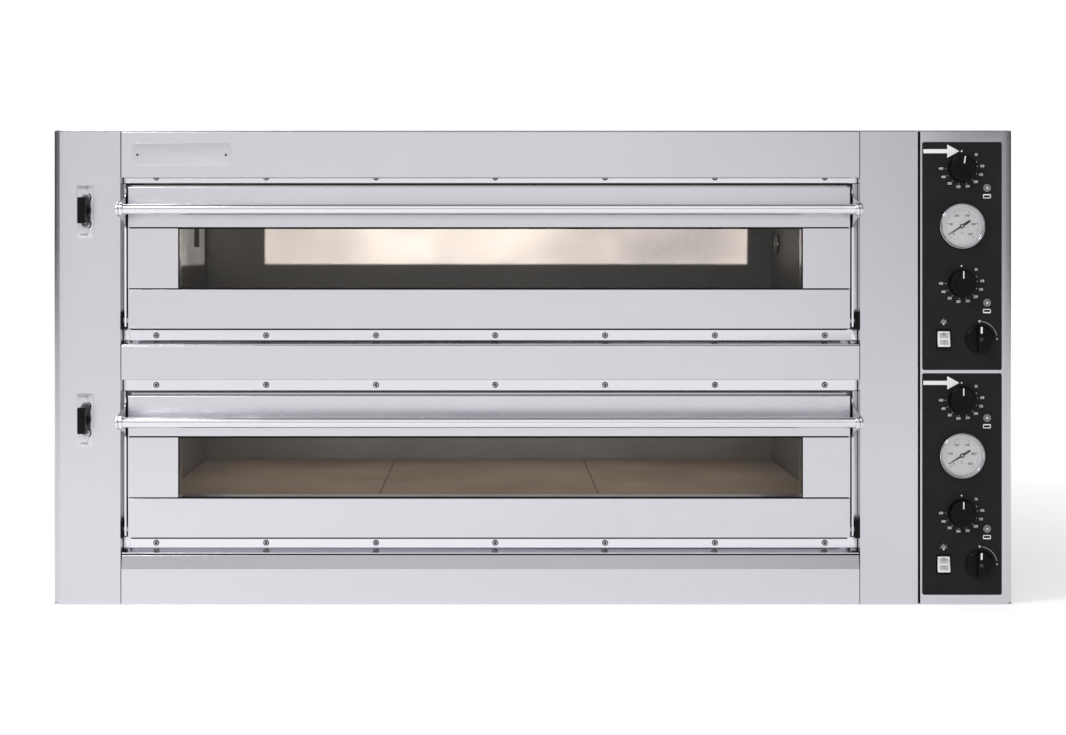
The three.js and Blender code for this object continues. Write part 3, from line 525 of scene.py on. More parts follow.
def lettering(bm, text, height, place, depth=0.05 * MM, weight=0.0):
    """Raised characters, centred on the place."""
    data = bpy.data.curves.new("characters", "FONT")
    data.body = text
    data.size = height / 0.7  # digits are 0.7 of the size that a font is set to
    data.align_x = "CENTER"
    data.align_y = "CENTER"
    data.extrude = depth / 2
    data.offset = weight
    data.resolution_u = 3
    characters = bpy.data.objects.new("characters", data)
    bpy.context.scene.collection.objects.link(characters)
    bpy.context.view_layer.update()
    evaluated = characters.evaluated_get(bpy.context.evaluated_depsgraph_get())
    mesh = bpy.data.meshes.new_from_object(evaluated)
    mesh.transform(place @ Matrix.Translation((0, 0, depth / 2)))
    bm.from_mesh(mesh)
    bpy.data.meshes.remove(mesh)
    bpy.data.objects.remove(characters)
    bpy.data.curves.remove(data)


def link_piece(piece, body, replaces):
    bpy.context.scene.collection.objects.link(piece)
    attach(piece, body)
    if replaces:
        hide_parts(*replaces)


def make_piece(name, bm, body, slot, replaces=(), material=None, sharp=35.0):
    """Turns a finished bmesh into a piece that rides on a body."""
    bmesh.ops.recalc_face_normals(bm, faces=bm.faces)
    mesh = bpy.data.meshes.new(name)
    bm.to_mesh(mesh)
    bm.free()
    mesh.shade_smooth()
    mesh.set_sharp_from_angle(angle=math.radians(sharp))
    mesh.materials.append(material or MATERIALS[slot])
    piece = bpy.data.objects.new(name, mesh)
    link_piece(piece, body, replaces)


def turned_piece(name, place, profile, segments, body, slot, looped=False, **options):
    """A piece made of one turned shape."""
    bm = bmesh.new()
    lathe(bm, place, profile, segments, looped)
    make_piece(name, bm, body, slot, **options)


def flat_piece(name, place, outline, depth, edge, body, slot, **options):
    """A piece made of one plate."""
    bm = bmesh.new()
    plate(bm, place, outline, depth, edge)
    make_piece(name, bm, body, slot, **options)


PRINT = 0.06 * MM  # thickness of the ink
INK_ROOT = -0.01 * MM  # ink starts just inside the surface that it is on


def printed_plate(bm, place, outline, depth=PRINT):
    plate(bm, place, outline, depth, 0.01 * MM, INK_ROOT)


def printed_shape(bm, place, points):
    """The same, for a shape given by its corners."""
    loft(bm, [[place @ Vector((u, v, w)) for u, v in points] for w in (INK_ROOT, PRINT)])


SHEET = 1.5 * MM


def is_cut_edge(face):
    """Whether a face is the narrow cut edge of a sheet."""
    return 2 * face.calc_area() / face.calc_perimeter() < SHEET * 1.15


def soften(node, fold=1.3 * MM, rim=0.3 * MM, sharp=25.0):
    """Replaces a folded sheet by a copy whose folds are rounded and whose cut edges are eased."""
    bm = bmesh.new()
    bm.from_mesh(frame["nodes"][node].data)
    bmesh.ops.remove_doubles(bm, verts=bm.verts, dist=1e-6)
    bmesh.ops.dissolve_limit(bm, angle_limit=math.radians(0.5), verts=bm.verts, edges=bm.edges)
    weights = bm.edges.layers.float.new("bevel_weight_edge")
    for edge in bm.edges:
        if len(edge.link_faces) != 2 or edge.calc_face_angle() < math.radians(sharp):
            continue
        outer_fold = edge.is_convex and not any(is_cut_edge(face) for face in edge.link_faces)
        edge[weights] = 1.0 if outer_fold else rim / fold
    mesh = bpy.data.meshes.new(f"{node}_sheet")
    bm.to_mesh(mesh)
    bm.free()
    mesh.shade_smooth()
    mesh.set_sharp_from_angle(angle=math.radians(30.0))
    mesh.materials.clear()
    mesh.materials.append(frame["nodes"][node].data.materials[0])
    sheet = bpy.data.objects.new(f"{node}_sheet", mesh)
    bpy.context.scene.collection.objects.link(sheet)
    bevel = sheet.modifiers.new("folds", "BEVEL")
    bevel.limit_method = "WEIGHT"
    bevel.width = fold
    bevel.segments = 4
    bevel.harden_normals = True
    bpy.context.view_layer.update()
    depsgraph = bpy.context.evaluated_depsgraph_get()
    sheet_mesh = bpy.data.meshes.new_from_object(
        sheet.evaluated_get(depsgraph), preserve_all_data_layers=True, depsgraph=depsgraph
    )
    sheet.modifiers.clear()
    sheet.data = sheet_mesh
    bpy.data.meshes.remove(mesh)
    bpy.context.scene.collection.objects.unlink(sheet)
    link_piece(sheet, BODY_OF[node], (node,))


# ---------------------------------------------------------------------------
# Casing, fascias and trims
# ---------------------------------------------------------------------------

CASING_SHEETS = (
    "left_casing", "right_post", "control_casing", "top_cover", "top_fascia", "middle_fascia", "base_pan",
)
SCREW_PITCH = 173.8 * MM
SCREW_MIDDLE_GAP = 188.6 * MM  # between the screws on the two sides of the strip's middle
SCREW_ABOVE_FOOT = 9.3 * MM  # of a top trim
SCREW_BELOW_HEAD = 10 * MM  # of a bottom trim


def screw(bm, dark, place):
    """Low round head. Black discs painted as shade, on the floor of its socket and in a ring round the head, go
    into a second mesh.
    """
    radius, ring = 3.7, 4.8
    hole = 0.58 * radius
    rim = [(hole, 0.6), (hole + 0.1, 1.9), (0.8 * radius, 2.0), (radius, 0.9), (radius, -0.3)]
    lathe(bm, place, [(hole, -0.3)] + filleted(rim, 0.4), 28, looped=True)
    plate(dark, place, circle(hole * MM, 6), 0.9 * MM, 0.05 * MM, -0.2 * MM)
    ring_plate(dark, place, circle(ring * MM), circle(radius * MM), 0.3 * MM, 0.05 * MM, -0.1 * MM)


def trim_screw_offsets():
    """Places of the seven screws, from the middle of the strip."""
    first = 7.7 * MM
    right = [first + SCREW_PITCH * k for k in range(4)]
    left = [first - SCREW_MIDDLE_GAP - SCREW_PITCH * k for k in range(3)]
    return left + right


def trim_screws(deck):
    """Seven screws along each recessed strip."""
    heads, shade_mesh = bmesh.new(), bmesh.new()
    for strip in ("top_trim", "bottom_trim"):
        low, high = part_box(f"{deck}_{strip}")
        height = low.z + SCREW_ABOVE_FOOT if strip == "top_trim" else high.z - SCREW_BELOW_HEAD
        for offset in trim_screw_offsets():
            screw(heads, shade_mesh, at((low.x + high.x) / 2 + offset, FRONT + RECESS, height))
    make_piece(f"{deck}_trim_screws", heads, "housing", "polished_stainless")
    # Black socket floors and rings round the heads: painted shade
    make_piece(f"{deck}_trim_screw_painted_shade", shade_mesh, "housing", "needle_black")


def trim_end_tabs(deck):
    """Short upright tabs where a door's recess meets the columns."""
    bm = bmesh.new()
    low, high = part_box(f"{deck}_bottom_trim")
    tab = rounded_rectangle(9 * MM, 17 * MM, 1 * MM)
    for x in (low.x + 5 * MM, high.x - 5 * MM):
        plate(bm, at(x, FRONT + RECESS, (low.z + high.z) / 2 + 4 * MM), tab, 1.5 * MM)
    make_piece(f"{deck}_trim_tabs", bm, "housing", "polished_stainless")


def nameplate():
    """Blank rounded plate on the top fascia, held by two rivets."""
    x, z = -0.552, 0.7065
    blank = rounded_rectangle(155 * MM, 37 * MM, 8 * MM)
    flat_piece("nameplate", at(x, FRONT, z), blank, 0.7 * MM, 0.2 * MM, "housing", "stainless_sheet")
    rivets = bmesh.new()
    for side in (-1, 1):
        dome = filleted([(0.0, 1.6), (1.4, 1.4), (1.9, 0.9), (1.9, 0.4)], 0.5)
        lathe(rivets, at(x + side * 69.5 * MM, FRONT, z), dome, 24)
    make_piece("nameplate_rivets", rivets, "housing", "needle_black")


def recess_strips(deck):
    """Upright strips at the back of the recess, between the columns and the arms."""
    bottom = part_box(f"{deck}_bottom_trim")[1].z
    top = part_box(f"{deck}_top_trim")[0].z
    bm = bmesh.new()
    for start, end in recess_gaps(deck):
        strip = rounded_rectangle(end - start - 0.8 * MM, top - bottom - 1 * MM, 0.4 * MM)
        plate(bm, at((start + end) / 2, FRONT + RECESS + 2 * MM, (bottom + top) / 2), strip, 2 * MM)
    make_piece(f"{deck}_recess_strips", bm, "housing", "stainless_sheet", material=SHADED_UPRIGHT_STEEL)


def back_screws():
    """Screws along the edges of the back panel."""
    low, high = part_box("back_panel")
    heads, shade_mesh = bmesh.new(), bmesh.new()
    inset = 12 * MM
    columns, rows = 7, 4
    for column in range(columns):
        for row in range(rows):
            if column not in (0, columns - 1) and row not in (0, rows - 1):
                continue
            x = low.x + inset + (high.x - low.x - 2 * inset) * column / (columns - 1)
            z = low.z + inset + (high.z - low.z - 2 * inset) * row / (rows - 1)
            screw(heads, shade_mesh, at(x, high.y, z, BACKWARD))
    make_piece("back_screws", heads, "housing", "polished_stainless")
    # Black socket floors and rings round the heads: painted shade
    make_piece("back_screw_painted_shade", shade_mesh, "housing", "needle_black")


def gland_nut():
    """Six-sided nut on the cable gland."""
    low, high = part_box("cable_gland")
    place = at((low.x + high.x) / 2, BACK, (low.z + high.z) / 2, BACKWARD)
    profile = filleted([(7.2, 0.5), (16.5, 0.5), (16.5, 5.0), (15.0, 6.4), (7.2, 6.4)], 0.8)
    section = [(7.2, 0.51)] + profile
    turned_piece("cable_gland_nut", place, section, 6, "housing", "black_knob", looped=True, sharp=20.0)


for name in CASING_SHEETS:
    soften(name)
for deck in DECKS:
    soften(f"{deck}_top_trim", fold=1.0 * MM)
    soften(f"{deck}_bottom_trim", fold=1.0 * MM)
    trim_screws(deck)
    trim_end_tabs(deck)
    recess_strips(deck)
nameplate()
back_screws()
gland_nut()

# ---------------------------------------------------------------------------
# Doors
# ---------------------------------------------------------------------------


def window_of(deck):
    """Centre and size of a door's window opening."""
    low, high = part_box(f"{deck}_door_glass")
    overlap = 10 * MM
    return (low + high) / 2, high.x - low.x - 2 * overlap, high.z - low.z - 2 * overlap


def window_seal(deck):
    """Black strip that lines the window opening, in front of the glass."""
    centre, width, height = window_of(deck)
    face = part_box(f"{deck}_door_glass")[0].y
    bm = bmesh.new()
    outer = rounded_rectangle(width + 1 * MM, height + 0.8 * MM, 0.6 * MM)
    inner = rounded_rectangle(width - 4.0 * MM, height - 1.6 * MM, 0.6 * MM)
    ring_plate(bm, at(centre.x, face, centre.z), outer, inner, 1.2 * MM, 0.4 * MM)
    make_piece(f"{deck}_window_seal", bm, f"{deck}_door", "gasket_black")


def door_edge_seals(deck):
    """Black strips painted as shade in the grooves beside the door and along its foot."""
    low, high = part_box(f"{deck}_door_bottom_panel")
    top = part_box(f"{deck}_door_top_panel")[1].z
    bm = bmesh.new()
    for x in (low.x - 1.2 * MM, high.x + 1.2 * MM):
        strip = rounded_rectangle(1.8 * MM, top - low.z - 30 * MM, 0.3 * MM)
        plate(bm, at(x, FRONT + 4 * MM, (low.z + top) / 2 + 10 * MM), strip, 5 * MM)
    foot = rounded_rectangle(high.x - low.x - 8 * MM, 2.2 * MM, 0.4 * MM)
    plate(bm, at((low.x + high.x) / 2, FRONT + 3 * MM, low.z - 1.2 * MM), foot, 4 * MM)
    # Black strips in the grooves: painted shade
    make_piece(f"{deck}_door_edge_seals", bm, f"{deck}_door", "gasket_black")


def joint_fillers(deck):
    """Black strips painted as shade in the joints between the door's front sheets and its stiles."""
    low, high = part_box(f"{deck}_door_top_panel")
    centre, _, height = window_of(deck)
    joint_height = 2.2 * MM
    bm = bmesh.new()
    for side in (-1, 1):
        z = centre.z + side * (height + joint_height) / 2
        strip = rounded_rectangle(high.x - low.x - 7 * MM, joint_height - 0.2 * MM, 0.2 * MM)
        plate(bm, at((low.x + high.x) / 2, low.y + 1.9 * MM, z), strip, 1.2 * MM, 0.1 * MM)
    # Black strips in the joints: painted shade
    make_piece(f"{deck}_joint_fillers", bm, f"{deck}_door", "gasket_black")


def chamber_seal(deck):
    """Soft seal round the mouth of the chamber."""
    low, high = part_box(f"{deck}_stone_floor")
    face = FRONT + 40.5 * MM
    bottom, top = low.z - 27 * MM, low.z + 184 * MM
    centre = Vector(((low.x + high.x) / 2, face, (bottom + top) / 2))
    width, height = high.x - low.x + 24 * MM, top - bottom
    bm = bmesh.new()
    outer = rounded_rectangle(width, height, 12 * MM)
    inner = rounded_rectangle(width - 12 * MM, height - 12 * MM, 8 * MM)
    ring_plate(bm, at(*centre), outer, inner, 3 * MM, 1.2 * MM)
    make_piece(f"{deck}_chamber_seal", bm, "housing", "gasket_black")


def hinge_blocks(deck):
    """Black bushings between the columns and the arms, with the steel trunnion in the middle."""
    hinge = joint_place(f"{deck}_door_hinge")
    bm = bmesh.new()
    for start, end in recess_gaps(deck):
        width = end - start - 0.6 * MM
        place = at(start + 0.3 * MM, hinge.y, hinge.z, RIGHTWARD)
        outer = rounded_rectangle(20 * MM, 28 * MM, 2 * MM)
        bore = circle(5.4 * MM, 28)
        rings = [(outer, 0.0), (outer, width), (bore, width), (bore, 0.0)]
        loft(bm, [[place @ Vector((u, v, w)) for u, v in shape(0.0)] for shape, w in rings], looped=True)
    make_piece(f"{deck}_hinge_blocks", bm, "housing", "black_knob")


def arm_outline(deck):
    """Side view of an arm in Y and Z: a strip beside the door, drawn out to the bar."""
    low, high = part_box(f"{deck}_handle_arm_left")
    bar = middle(f"{deck}_handle_bar")
    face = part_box(f"{deck}_door_top_panel")[0].y
    tip = 11 * MM

    def curve(p0, p1, p2, p3, steps=14):
        points = []
        for k in range(1, steps + 1):
            t = k / steps
            weights = ((1 - t) ** 3, 3 * t * (1 - t) ** 2, 3 * t * t * (1 - t), t**3)
            points.append(tuple(sum(w * p[i] for w, p in zip(weights, (p0, p1, p2, p3))) for i in (0, 1)))
        return points

    tangent = math.radians(80)
    upper_tip = (bar.y + tip * math.cos(tangent), bar.z + tip * math.sin(tangent))
    lower_tip = (bar.y + tip * math.cos(tangent), bar.z - tip * math.sin(tangent))
    upper_root = (face, bar.z + 27 * MM)
    lower_root = (face, bar.z - 31 * MM)
    points = [(face, low.z), (high.y, low.z), (high.y, high.z), (face, high.z), upper_root]
    points += curve(
        upper_root, (face - 6 * MM, bar.z + 20 * MM), (face - 30 * MM, bar.z + 16 * MM), upper_tip
    )
    steps = 18
    for k in range(1, steps):
        angle = tangent + (2 * math.pi - 2 * tangent) * k / steps
        points.append((bar.y + tip * math.cos(angle), bar.z + tip * math.sin(angle)))
    points.append(lower_tip)
    points += curve(
        lower_tip, (face - 30 * MM, bar.z - 15 * MM), (face - 6 * MM, bar.z - 20 * MM), lower_root
    )
    return points


def handle_arm(deck, side):
    """Smooth side plate with the round cap that closes the bar's end."""
    node = f"{deck}_handle_arm_{side}"
    low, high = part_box(node)
    hand = -1 if side == "left" else 1
    cap, spacer, thickness = 2.5 * MM, 2.0 * MM, 3.0 * MM
    outer = low.x + cap if side == "left" else high.x - cap
    inner = outer - hand * thickness
    bm = bmesh.new()
    outline = arm_outline(deck)
    verts = [bm.verts.new((inner, y, z)) for y, z in outline]
    face = bm.faces.new(verts)
    copied = bmesh.ops.extrude_face_region(bm, geom=[face])["geom"]
    far_verts = [item for item in copied if isinstance(item, bmesh.types.BMVert)]
    bmesh.ops.translate(bm, verts=far_verts, vec=(hand * thickness, 0, 0))
    bmesh.ops.recalc_face_normals(bm, faces=bm.faces)
    rims = [e for e in bm.edges if e.calc_face_angle() > math.radians(60)]
    bmesh.ops.bevel(bm, geom=rims, offset=0.5 * MM, segments=3, profile=0.5, affect="EDGES")
    bar = middle(f"{deck}_handle_bar")
    facing = RIGHTWARD if hand > 0 else RIGHTWARD @ Matrix.Rotation(math.pi, 4, "Y")
    dome = filleted([(7.0, -0.5), (7.0, 2.4), (0.0, 2.5)], 1.2, 6)
    lathe(bm, at(outer, bar.y, bar.z, facing), dome, 36)
    hinge = joint_place(f"{deck}_door_hinge")
    for height in (hinge.z + 36.5 * MM, bar.z):
        lathe(bm, at(inner, hinge.y + 4 * MM, height, facing), [(5.0, 0.5), (5.0, -spacer / MM)], 24)
    make_piece(node + "_plate", bm, f"{deck}_door", "polished_stainless", (node,))


def handle_bar(deck):
    """Round tube with a stepped collar at each end."""
    node = f"{deck}_handle_bar"
    low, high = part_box(node)
    centre = (low + high) / 2
    half = (high.x - low.x) / 2 / MM
    collar = (high.z - low.z) / 2 / MM
    right_end = filleted(
        [(8.0, half - 26), (8.0, half - 6), (collar, half - 6), (collar, half), (6.5, half)], 0.7
    )
    left_end = [(radius, -along) for radius, along in reversed(right_end)]
    profile = [(6.5, half - 0.01)] + [(6.5, -half + 0.01)] + left_end + right_end
    turned_piece(
        f"{node}_tube", at(*centre, RIGHTWARD), profile, 56, f"{deck}_door", "polished_stainless",
        looped=True, replaces=(node,),
    )


for deck in DECKS:
    soften(f"{deck}_door_top_panel", fold=1.4 * MM, rim=0.65 * MM)
    soften(f"{deck}_door_bottom_panel", fold=1.4 * MM, rim=0.65 * MM)
    window_seal(deck)
    door_edge_seals(deck)
    joint_fillers(deck)
    chamber_seal(deck)
    hinge_blocks(deck)
    handle_bar(deck)
    handle_arm(deck, "left")
    handle_arm(deck, "right")

# ---------------------------------------------------------------------------
# Baking chambers
# ---------------------------------------------------------------------------


def stone_slabs(deck):
    """Floor of four slabs with worn edges and fine joints."""
    node = f"{deck}_stone_floor"
    low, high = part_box(node)
    width = (high.x - low.x) / 3
    depth = (high.y - low.y) / 2
    bm = bmesh.new()
    for column in range(3):
        for row in range(2):
            x = low.x + (column + 0.5) * width
            y = low.y + (row + 0.5) * depth
            slab = rounded_rectangle(width - 1.2 * MM, depth - 1.2 * MM, 3 * MM)
            plate(bm, at(x, y, low.z, UPWARD), slab, high.z - low.z, 1.5 * MM)
    make_piece(f"{node}_slabs", bm, "housing", "baking_stone", (node,))


def heater_tube(node):
    """Smooth sheathed element that runs to and fro."""
    low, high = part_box(node)
    radius = (high.z - low.z) / 2
    rows = 5
    pitch = (high.y - low.y - 2 * radius) / (rows - 1)
    bend = pitch / 2
    far = low.x + radius + bend
    lead = 46 * MM  # straight run to each end
    near = high.x - lead - bend
    z = (low.z + high.z) / 2
    path = [Vector((high.x, low.y + radius, z))]
    for row in range(rows - 1):
        to_left = row % 2 == 0
        centre = Vector((far if to_left else near, low.y + radius + (row + 0.5) * pitch, z))
        steps = 20
        for k in range(steps + 1):
            angle = -math.pi / 2 + (-1 if to_left else 1) * math.pi * k / steps
            path.append(centre + Vector((bend * math.cos(angle), bend * math.sin(angle), 0)))
    path.append(Vector((high.x, high.y - radius, z)))
    bm = bmesh.new()
    tube(bm, path, radius)
    make_piece(f"{node}_tube", bm, "housing", "heater_sheath", (node,))


def lamp(deck):
    """Oven lamp: screwed steel ring with a domed glass."""
    node = f"{deck}_lamp"
    low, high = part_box(node)
    centre = (low + high) / 2
    wall = low.x + 8 * MM
    place = at(wall, centre.y, centre.z, RIGHTWARD @ Matrix.Rotation(math.pi, 4, "Y"))
    ring = filleted([(15.0, 0.4), (20.0, 0.4), (20.0, 4.0), (16.5, 6.0), (15.0, 4.0)], 0.8)
    bm = bmesh.new()
    lathe(bm, place, ring, 48, looped=True)
    lathe(bm, place, filleted([(15.0, -28.0), (15.0, 0.3), (10.0, 0.4)], 0.5), 40)
    make_piece(f"{node}_holder", bm, "housing", "polished_stainless", (node,))
    dome = filleted([(14.6, 0.6), (14.6, 4.5), (10.0, 7.0), (0.0, 8.0)], 2.5, 6)
    turned_piece(f"{node}_glass", place, dome, 40, "housing", "clear_lens")


for deck in DECKS:
    stone_slabs(deck)
    heater_tube(f"{deck}_bottom_heater")
    heater_tube(f"{deck}_top_heater")
    lamp(deck)

# ---------------------------------------------------------------------------
# Steam vents
# ---------------------------------------------------------------------------

SHUTTER_DEPTH = 5.6 * MM  # of a shutter's back behind the front


def vent_mark(bm, place, shaft_start, tip, height):
    """Short arrow: a shaft that ends in a crescent whose outer edge touches the tip."""
    shaft_end = tip - 3 * MM
    shaft = rounded_rectangle(shaft_end - shaft_start, 1.5 * MM, 0.3 * MM)
    printed_plate(bm, moved(place, (shaft_start + shaft_end) / 2, 0), shaft)
    steps = 10
    shares = [k / steps for k in range(steps + 1)]
    outer = [(tip - 3.4 * MM * (2 * share - 1) ** 2, height * (share - 0.5)) for share in shares]
    inner = [(u - 2.2 * MM, v * 0.86) for u, v in outer]
    printed_shape(bm, place, outer + inner[::-1])


def vent_plate(deck):
    """Thin guide plate with its slot, marked with the way to open and to close the vent."""
    vent = joint_place(f"{deck}_vent_lever_pivot")
    place = at(vent.x, FRONT, vent.z)
    thickness = 0.4 * MM
    outer = rounded_rectangle(27 * MM, 84 * MM, 5 * MM)
    slot = rounded_rectangle(9 * MM, 42 * MM, 4.4 * MM)
    bm = bmesh.new()
    ring_plate(bm, place, outer, slot, thickness, 0.1 * MM)
    make_piece(f"{deck}_vent_plate", bm, "housing", "stainless_sheet", material=SHADED_UPRIGHT_STEEL)
    marks = bmesh.new()
    on_plate = moved(place, 0, 0, thickness)
    for v, height in ((21.6, 12), (-20.4, 13)):
        vent_mark(marks, moved(on_plate, 0, v * MM), 5.0 * MM, 10.6 * MM, height * MM)
    for u, v in ((-3.0, 26.5), (-8.8, -23.5)):
        printed_plate(marks, moved(on_plate, u * MM, v * MM), rounded_rectangle(0.5 * MM, 7 * MM, 0.1 * MM))
    for word, v in (("CLOSE", 37.0), ("OPEN", -37.0)):
        lettering(marks, word, 3.6 * MM, moved(on_plate, -1.5 * MM, v * MM), PRINT)
    reach, sweep, steps = 70 * MM, math.radians(34), 24
    arc = [(-sweep + 2 * sweep * k / steps) for k in range(steps + 1)]
    line = [(12.6 * MM - reach * (1 - math.cos(a)), reach * math.sin(a)) for a in arc]
    line += [(u - 0.4 * MM, v) for u, v in reversed(line)]
    printed_shape(marks, on_plate, line)
    make_piece(f"{deck}_vent_marks", marks, "housing", "needle_black")
    shutter = bmesh.new()
    behind = at(vent.x, FRONT + SHUTTER_DEPTH, vent.z)
    plate(shutter, behind, rounded_rectangle(12 * MM, 94 * MM, 2 * MM), 0.8 * MM)
    make_piece(f"{deck}_vent_shutter", shutter, f"{deck}_vent", "stainless_sheet", material=SHADED_UPRIGHT_STEEL)


def vent_knob(deck):
    """Moulded knob: an upright wing on a round hub."""
    node = f"{deck}_vent_knob"
    low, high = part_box(node)
    vent = joint_place(f"{deck}_vent_lever_pivot")
    hub_radius = (high.x - low.x) / 2 / MM
    hub_depth = 8.0
    place = at(vent.x, high.y, vent.z)
    bm = bmesh.new()
    hub = filleted([(hub_radius, 0.0), (hub_radius, hub_depth), (7.5, hub_depth + 1.5)], 1.5)
    lathe(bm, place, [(3.8, 0.0)] + hub + [(3.8, hub_depth + 1.5)], 36, looped=True)
    wing = rounded_rectangle(12 * MM, high.z - low.z, 1.8 * MM, 8)
    raised = moved(place, 0, (low.z + high.z) / 2 - vent.z)
    plate(bm, raised, wing, high.y - low.y - hub_depth * MM, 1.0 * MM, hub_depth * MM)
    make_piece(f"{node}_moulding", bm, f"{deck}_vent", "black_knob", (node,))


for deck in DECKS:
    vent_plate(deck)
    vent_knob(deck)

# ---------------------------------------------------------------------------
# Control panels
# ---------------------------------------------------------------------------

PANEL_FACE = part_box("lower_control_panel")[0].y
FIRST_NUMBER_ANGLE = 84.0  # clockwise from the top, of 100 degrees on a thermostat
NUMBER_STEP = 26.33
SCALE_RADII = (32.3 * MM, 29.8 * MM)  # across and up, of the numbers round a thermostat knob
INDEX_HEIGHT = 26.6 * MM  # of the dot above a knob's centre
TURNED_INDEX = 8.0  # degrees clockwise, of the line on the upper deck's top knob
PILOT_ASIDE = 39.8 * MM  # of the pilot lamps, to the right of their knobs
PILOT_BELOW = {
    ("upper", "top"): 30.9 * MM,
    ("upper", "bottom"): 30.9 * MM,
    ("lower", "top"): 28.3 * MM,
    ("lower", "bottom"): 25.2 * MM,
}
CONDENSED = Matrix.Diagonal((0.82, 1.0, 1.0, 1.0))


def on_panel(joint_name):
    """Place on the panels' face in front of a joint."""
    pivot = joint_place(joint_name)
    return at(pivot.x, PANEL_FACE, pivot.z)


def thermostat_scale(deck, heat):
    """Numbers from 50 to 450 round a knob, and the index dot above it."""
    place = on_panel(f"{deck}_{heat}_heat_turn")
    bm = bmesh.new()
    numbers = [(50, 45.0)] + [(100 + 50 * k, FIRST_NUMBER_ANGLE + NUMBER_STEP * k) for k in range(8)]
    for number, angle in numbers:
        u, v = (reach * part for reach, part in zip(SCALE_RADII, clockwise(angle, 1.0)))
        lettering(bm, str(number), 3.8 * MM, moved(place, u, v) @ CONDENSED, PRINT, 0.04 * MM)
        if number > 50:
            u, v = clockwise(angle, 25.0 * MM)
            tick = rounded_rectangle(0.5 * MM, 1.5 * MM, 0.1 * MM, 2)
            printed_plate(bm, moved(place, u, v, clock=angle), tick)
    for angle, distance, radius in ((0.0, INDEX_HEIGHT, 1.3 * MM), (67.0, 25.5 * MM, 0.6 * MM)):
        u, v = clockwise(angle, distance)
        printed_plate(bm, moved(place, u, v), circle(radius, 16))
    make_piece(f"{deck}_{heat}_heat_scale", bm, "housing", "printed_white")


def thermostat_knob(deck, heat, index_angle):
    """Round knob with a skirt, a finely fluted side, a dished top and a white index line."""
    node = f"{deck}_{heat}_heat_knob"
    place = on_panel(f"{deck}_{heat}_heat_turn")
    profile = filleted(
        [
            (3.0, -14), (3.0, 1), (21.5, 1), (21.5, 2.6), (20.7, 4.0),
            (20.1, 14.0), (18.4, 15), (13.0, 14.6), (0.0, 14.4),
        ],
        0.9,
    )
    bm = bmesh.new()
    lathe(bm, place, profile, 96)
    for vert in bm.verts:
        local = place.inverted() @ vert.co
        radius = math.hypot(local.x, local.y)
        if 19.4 * MM < radius < 20.9 * MM and 4.2 * MM < local.z < 13.8 * MM:
            flute = 0.25 * MM * (1 + math.cos(24 * math.atan2(local.y, local.x))) / 2
            share = 1 - flute / radius
            vert.co = place @ Vector((local.x * share, local.y * share, local.z))
    body = f"{deck}_{heat}_heat_control"
    make_piece(f"{node}_moulding", bm, body, "black_knob", (node,))
    groove = moved(moved(place, 0, 0, clock=index_angle), 0, 13.0 * MM, 14.2 * MM)
    line = rounded_rectangle(1.8 * MM, 11.6 * MM, 0.8 * MM)
    flat_piece(f"{node}_index", groove, line, 0.75 * MM, 0.15 * MM, body, "printed_white")


def panel_arrow(deck):
    """Plain arrow from the panel's left edge to the index dot of the top knob."""
    knob = joint_place(f"{deck}_top_heat_turn")
    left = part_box(f"{deck}_control_panel")[0].x - knob.x + 1.2 * MM
    tip, head, half_head, half_shaft = -3.6 * MM, 19 * MM, 10.5 * MM, 3.2 * MM
    place = at(knob.x, PANEL_FACE, knob.z + INDEX_HEIGHT)
    upper = [(left, half_shaft), (tip - head, half_shaft), (tip - head, half_head)]
    outline = upper + [(tip, 0.0)] + [(u, -v) for u, v in reversed(upper)]
    bm = bmesh.new()
    printed_shape(bm, place, outline)
    make_piece(f"{deck}_panel_arrow", bm, "housing", "printed_white")


def pilot_lamp(deck, heat):
    """Smoked pilot lens in a steel ring, with a white dot on its top painted as a highlight, and the outline
    symbol of the heated face below it.
    """
    knob = joint_place(f"{deck}_{heat}_heat_turn")
    place = at(knob.x + PILOT_ASIDE, PANEL_FACE, knob.z - PILOT_BELOW[deck, heat])
    node = f"{deck}_{heat}_pilot"
    section = filleted([(4.7, 0.0), (6.2, 0.0), (6.2, 1.2), (5.4, 1.9), (4.7, 1.2)], 0.4)
    turned_piece(f"{node}_ring", place, section, 36, "housing", "chamber_sheet", looped=True)
    dome = filleted([(4.8, 0.0), (4.8, 1.2), (2.6, 2.6), (0.0, 3.0)], 1.2, 5)
    turned_piece(f"{node}_lens", place, dome, 30, "housing", "gauge_face", material=PILOT_GLASS)
    # White dot on the lens's top: painted highlight
    painted_glint = filleted([(1.3, 2.5), (1.3, 3.0), (0.0, 3.2)], 0.3)
    turned_piece(f"{node}_spot", place, painted_glint, 20, "housing", "printed_white")
    symbol = bmesh.new()
    below = moved(place, 0, -13.2 * MM)
    outer = rounded_rectangle(12.2 * MM, 6.5 * MM, 1.5 * MM)
    inner = rounded_rectangle(9.8 * MM, 4.1 * MM, 0.6 * MM)
    ring_plate(symbol, below, outer, inner, PRINT, 0.01 * MM)
    element = 1 if heat == "top" else -1
    bar = moved(below, 0, element * 2.2 * MM)
    printed_plate(symbol, bar, rounded_rectangle(10.2 * MM, 1.6 * MM, 0.5 * MM), PRINT * 1.2)
    make_piece(f"{node}_symbol", symbol, "housing", "printed_white")


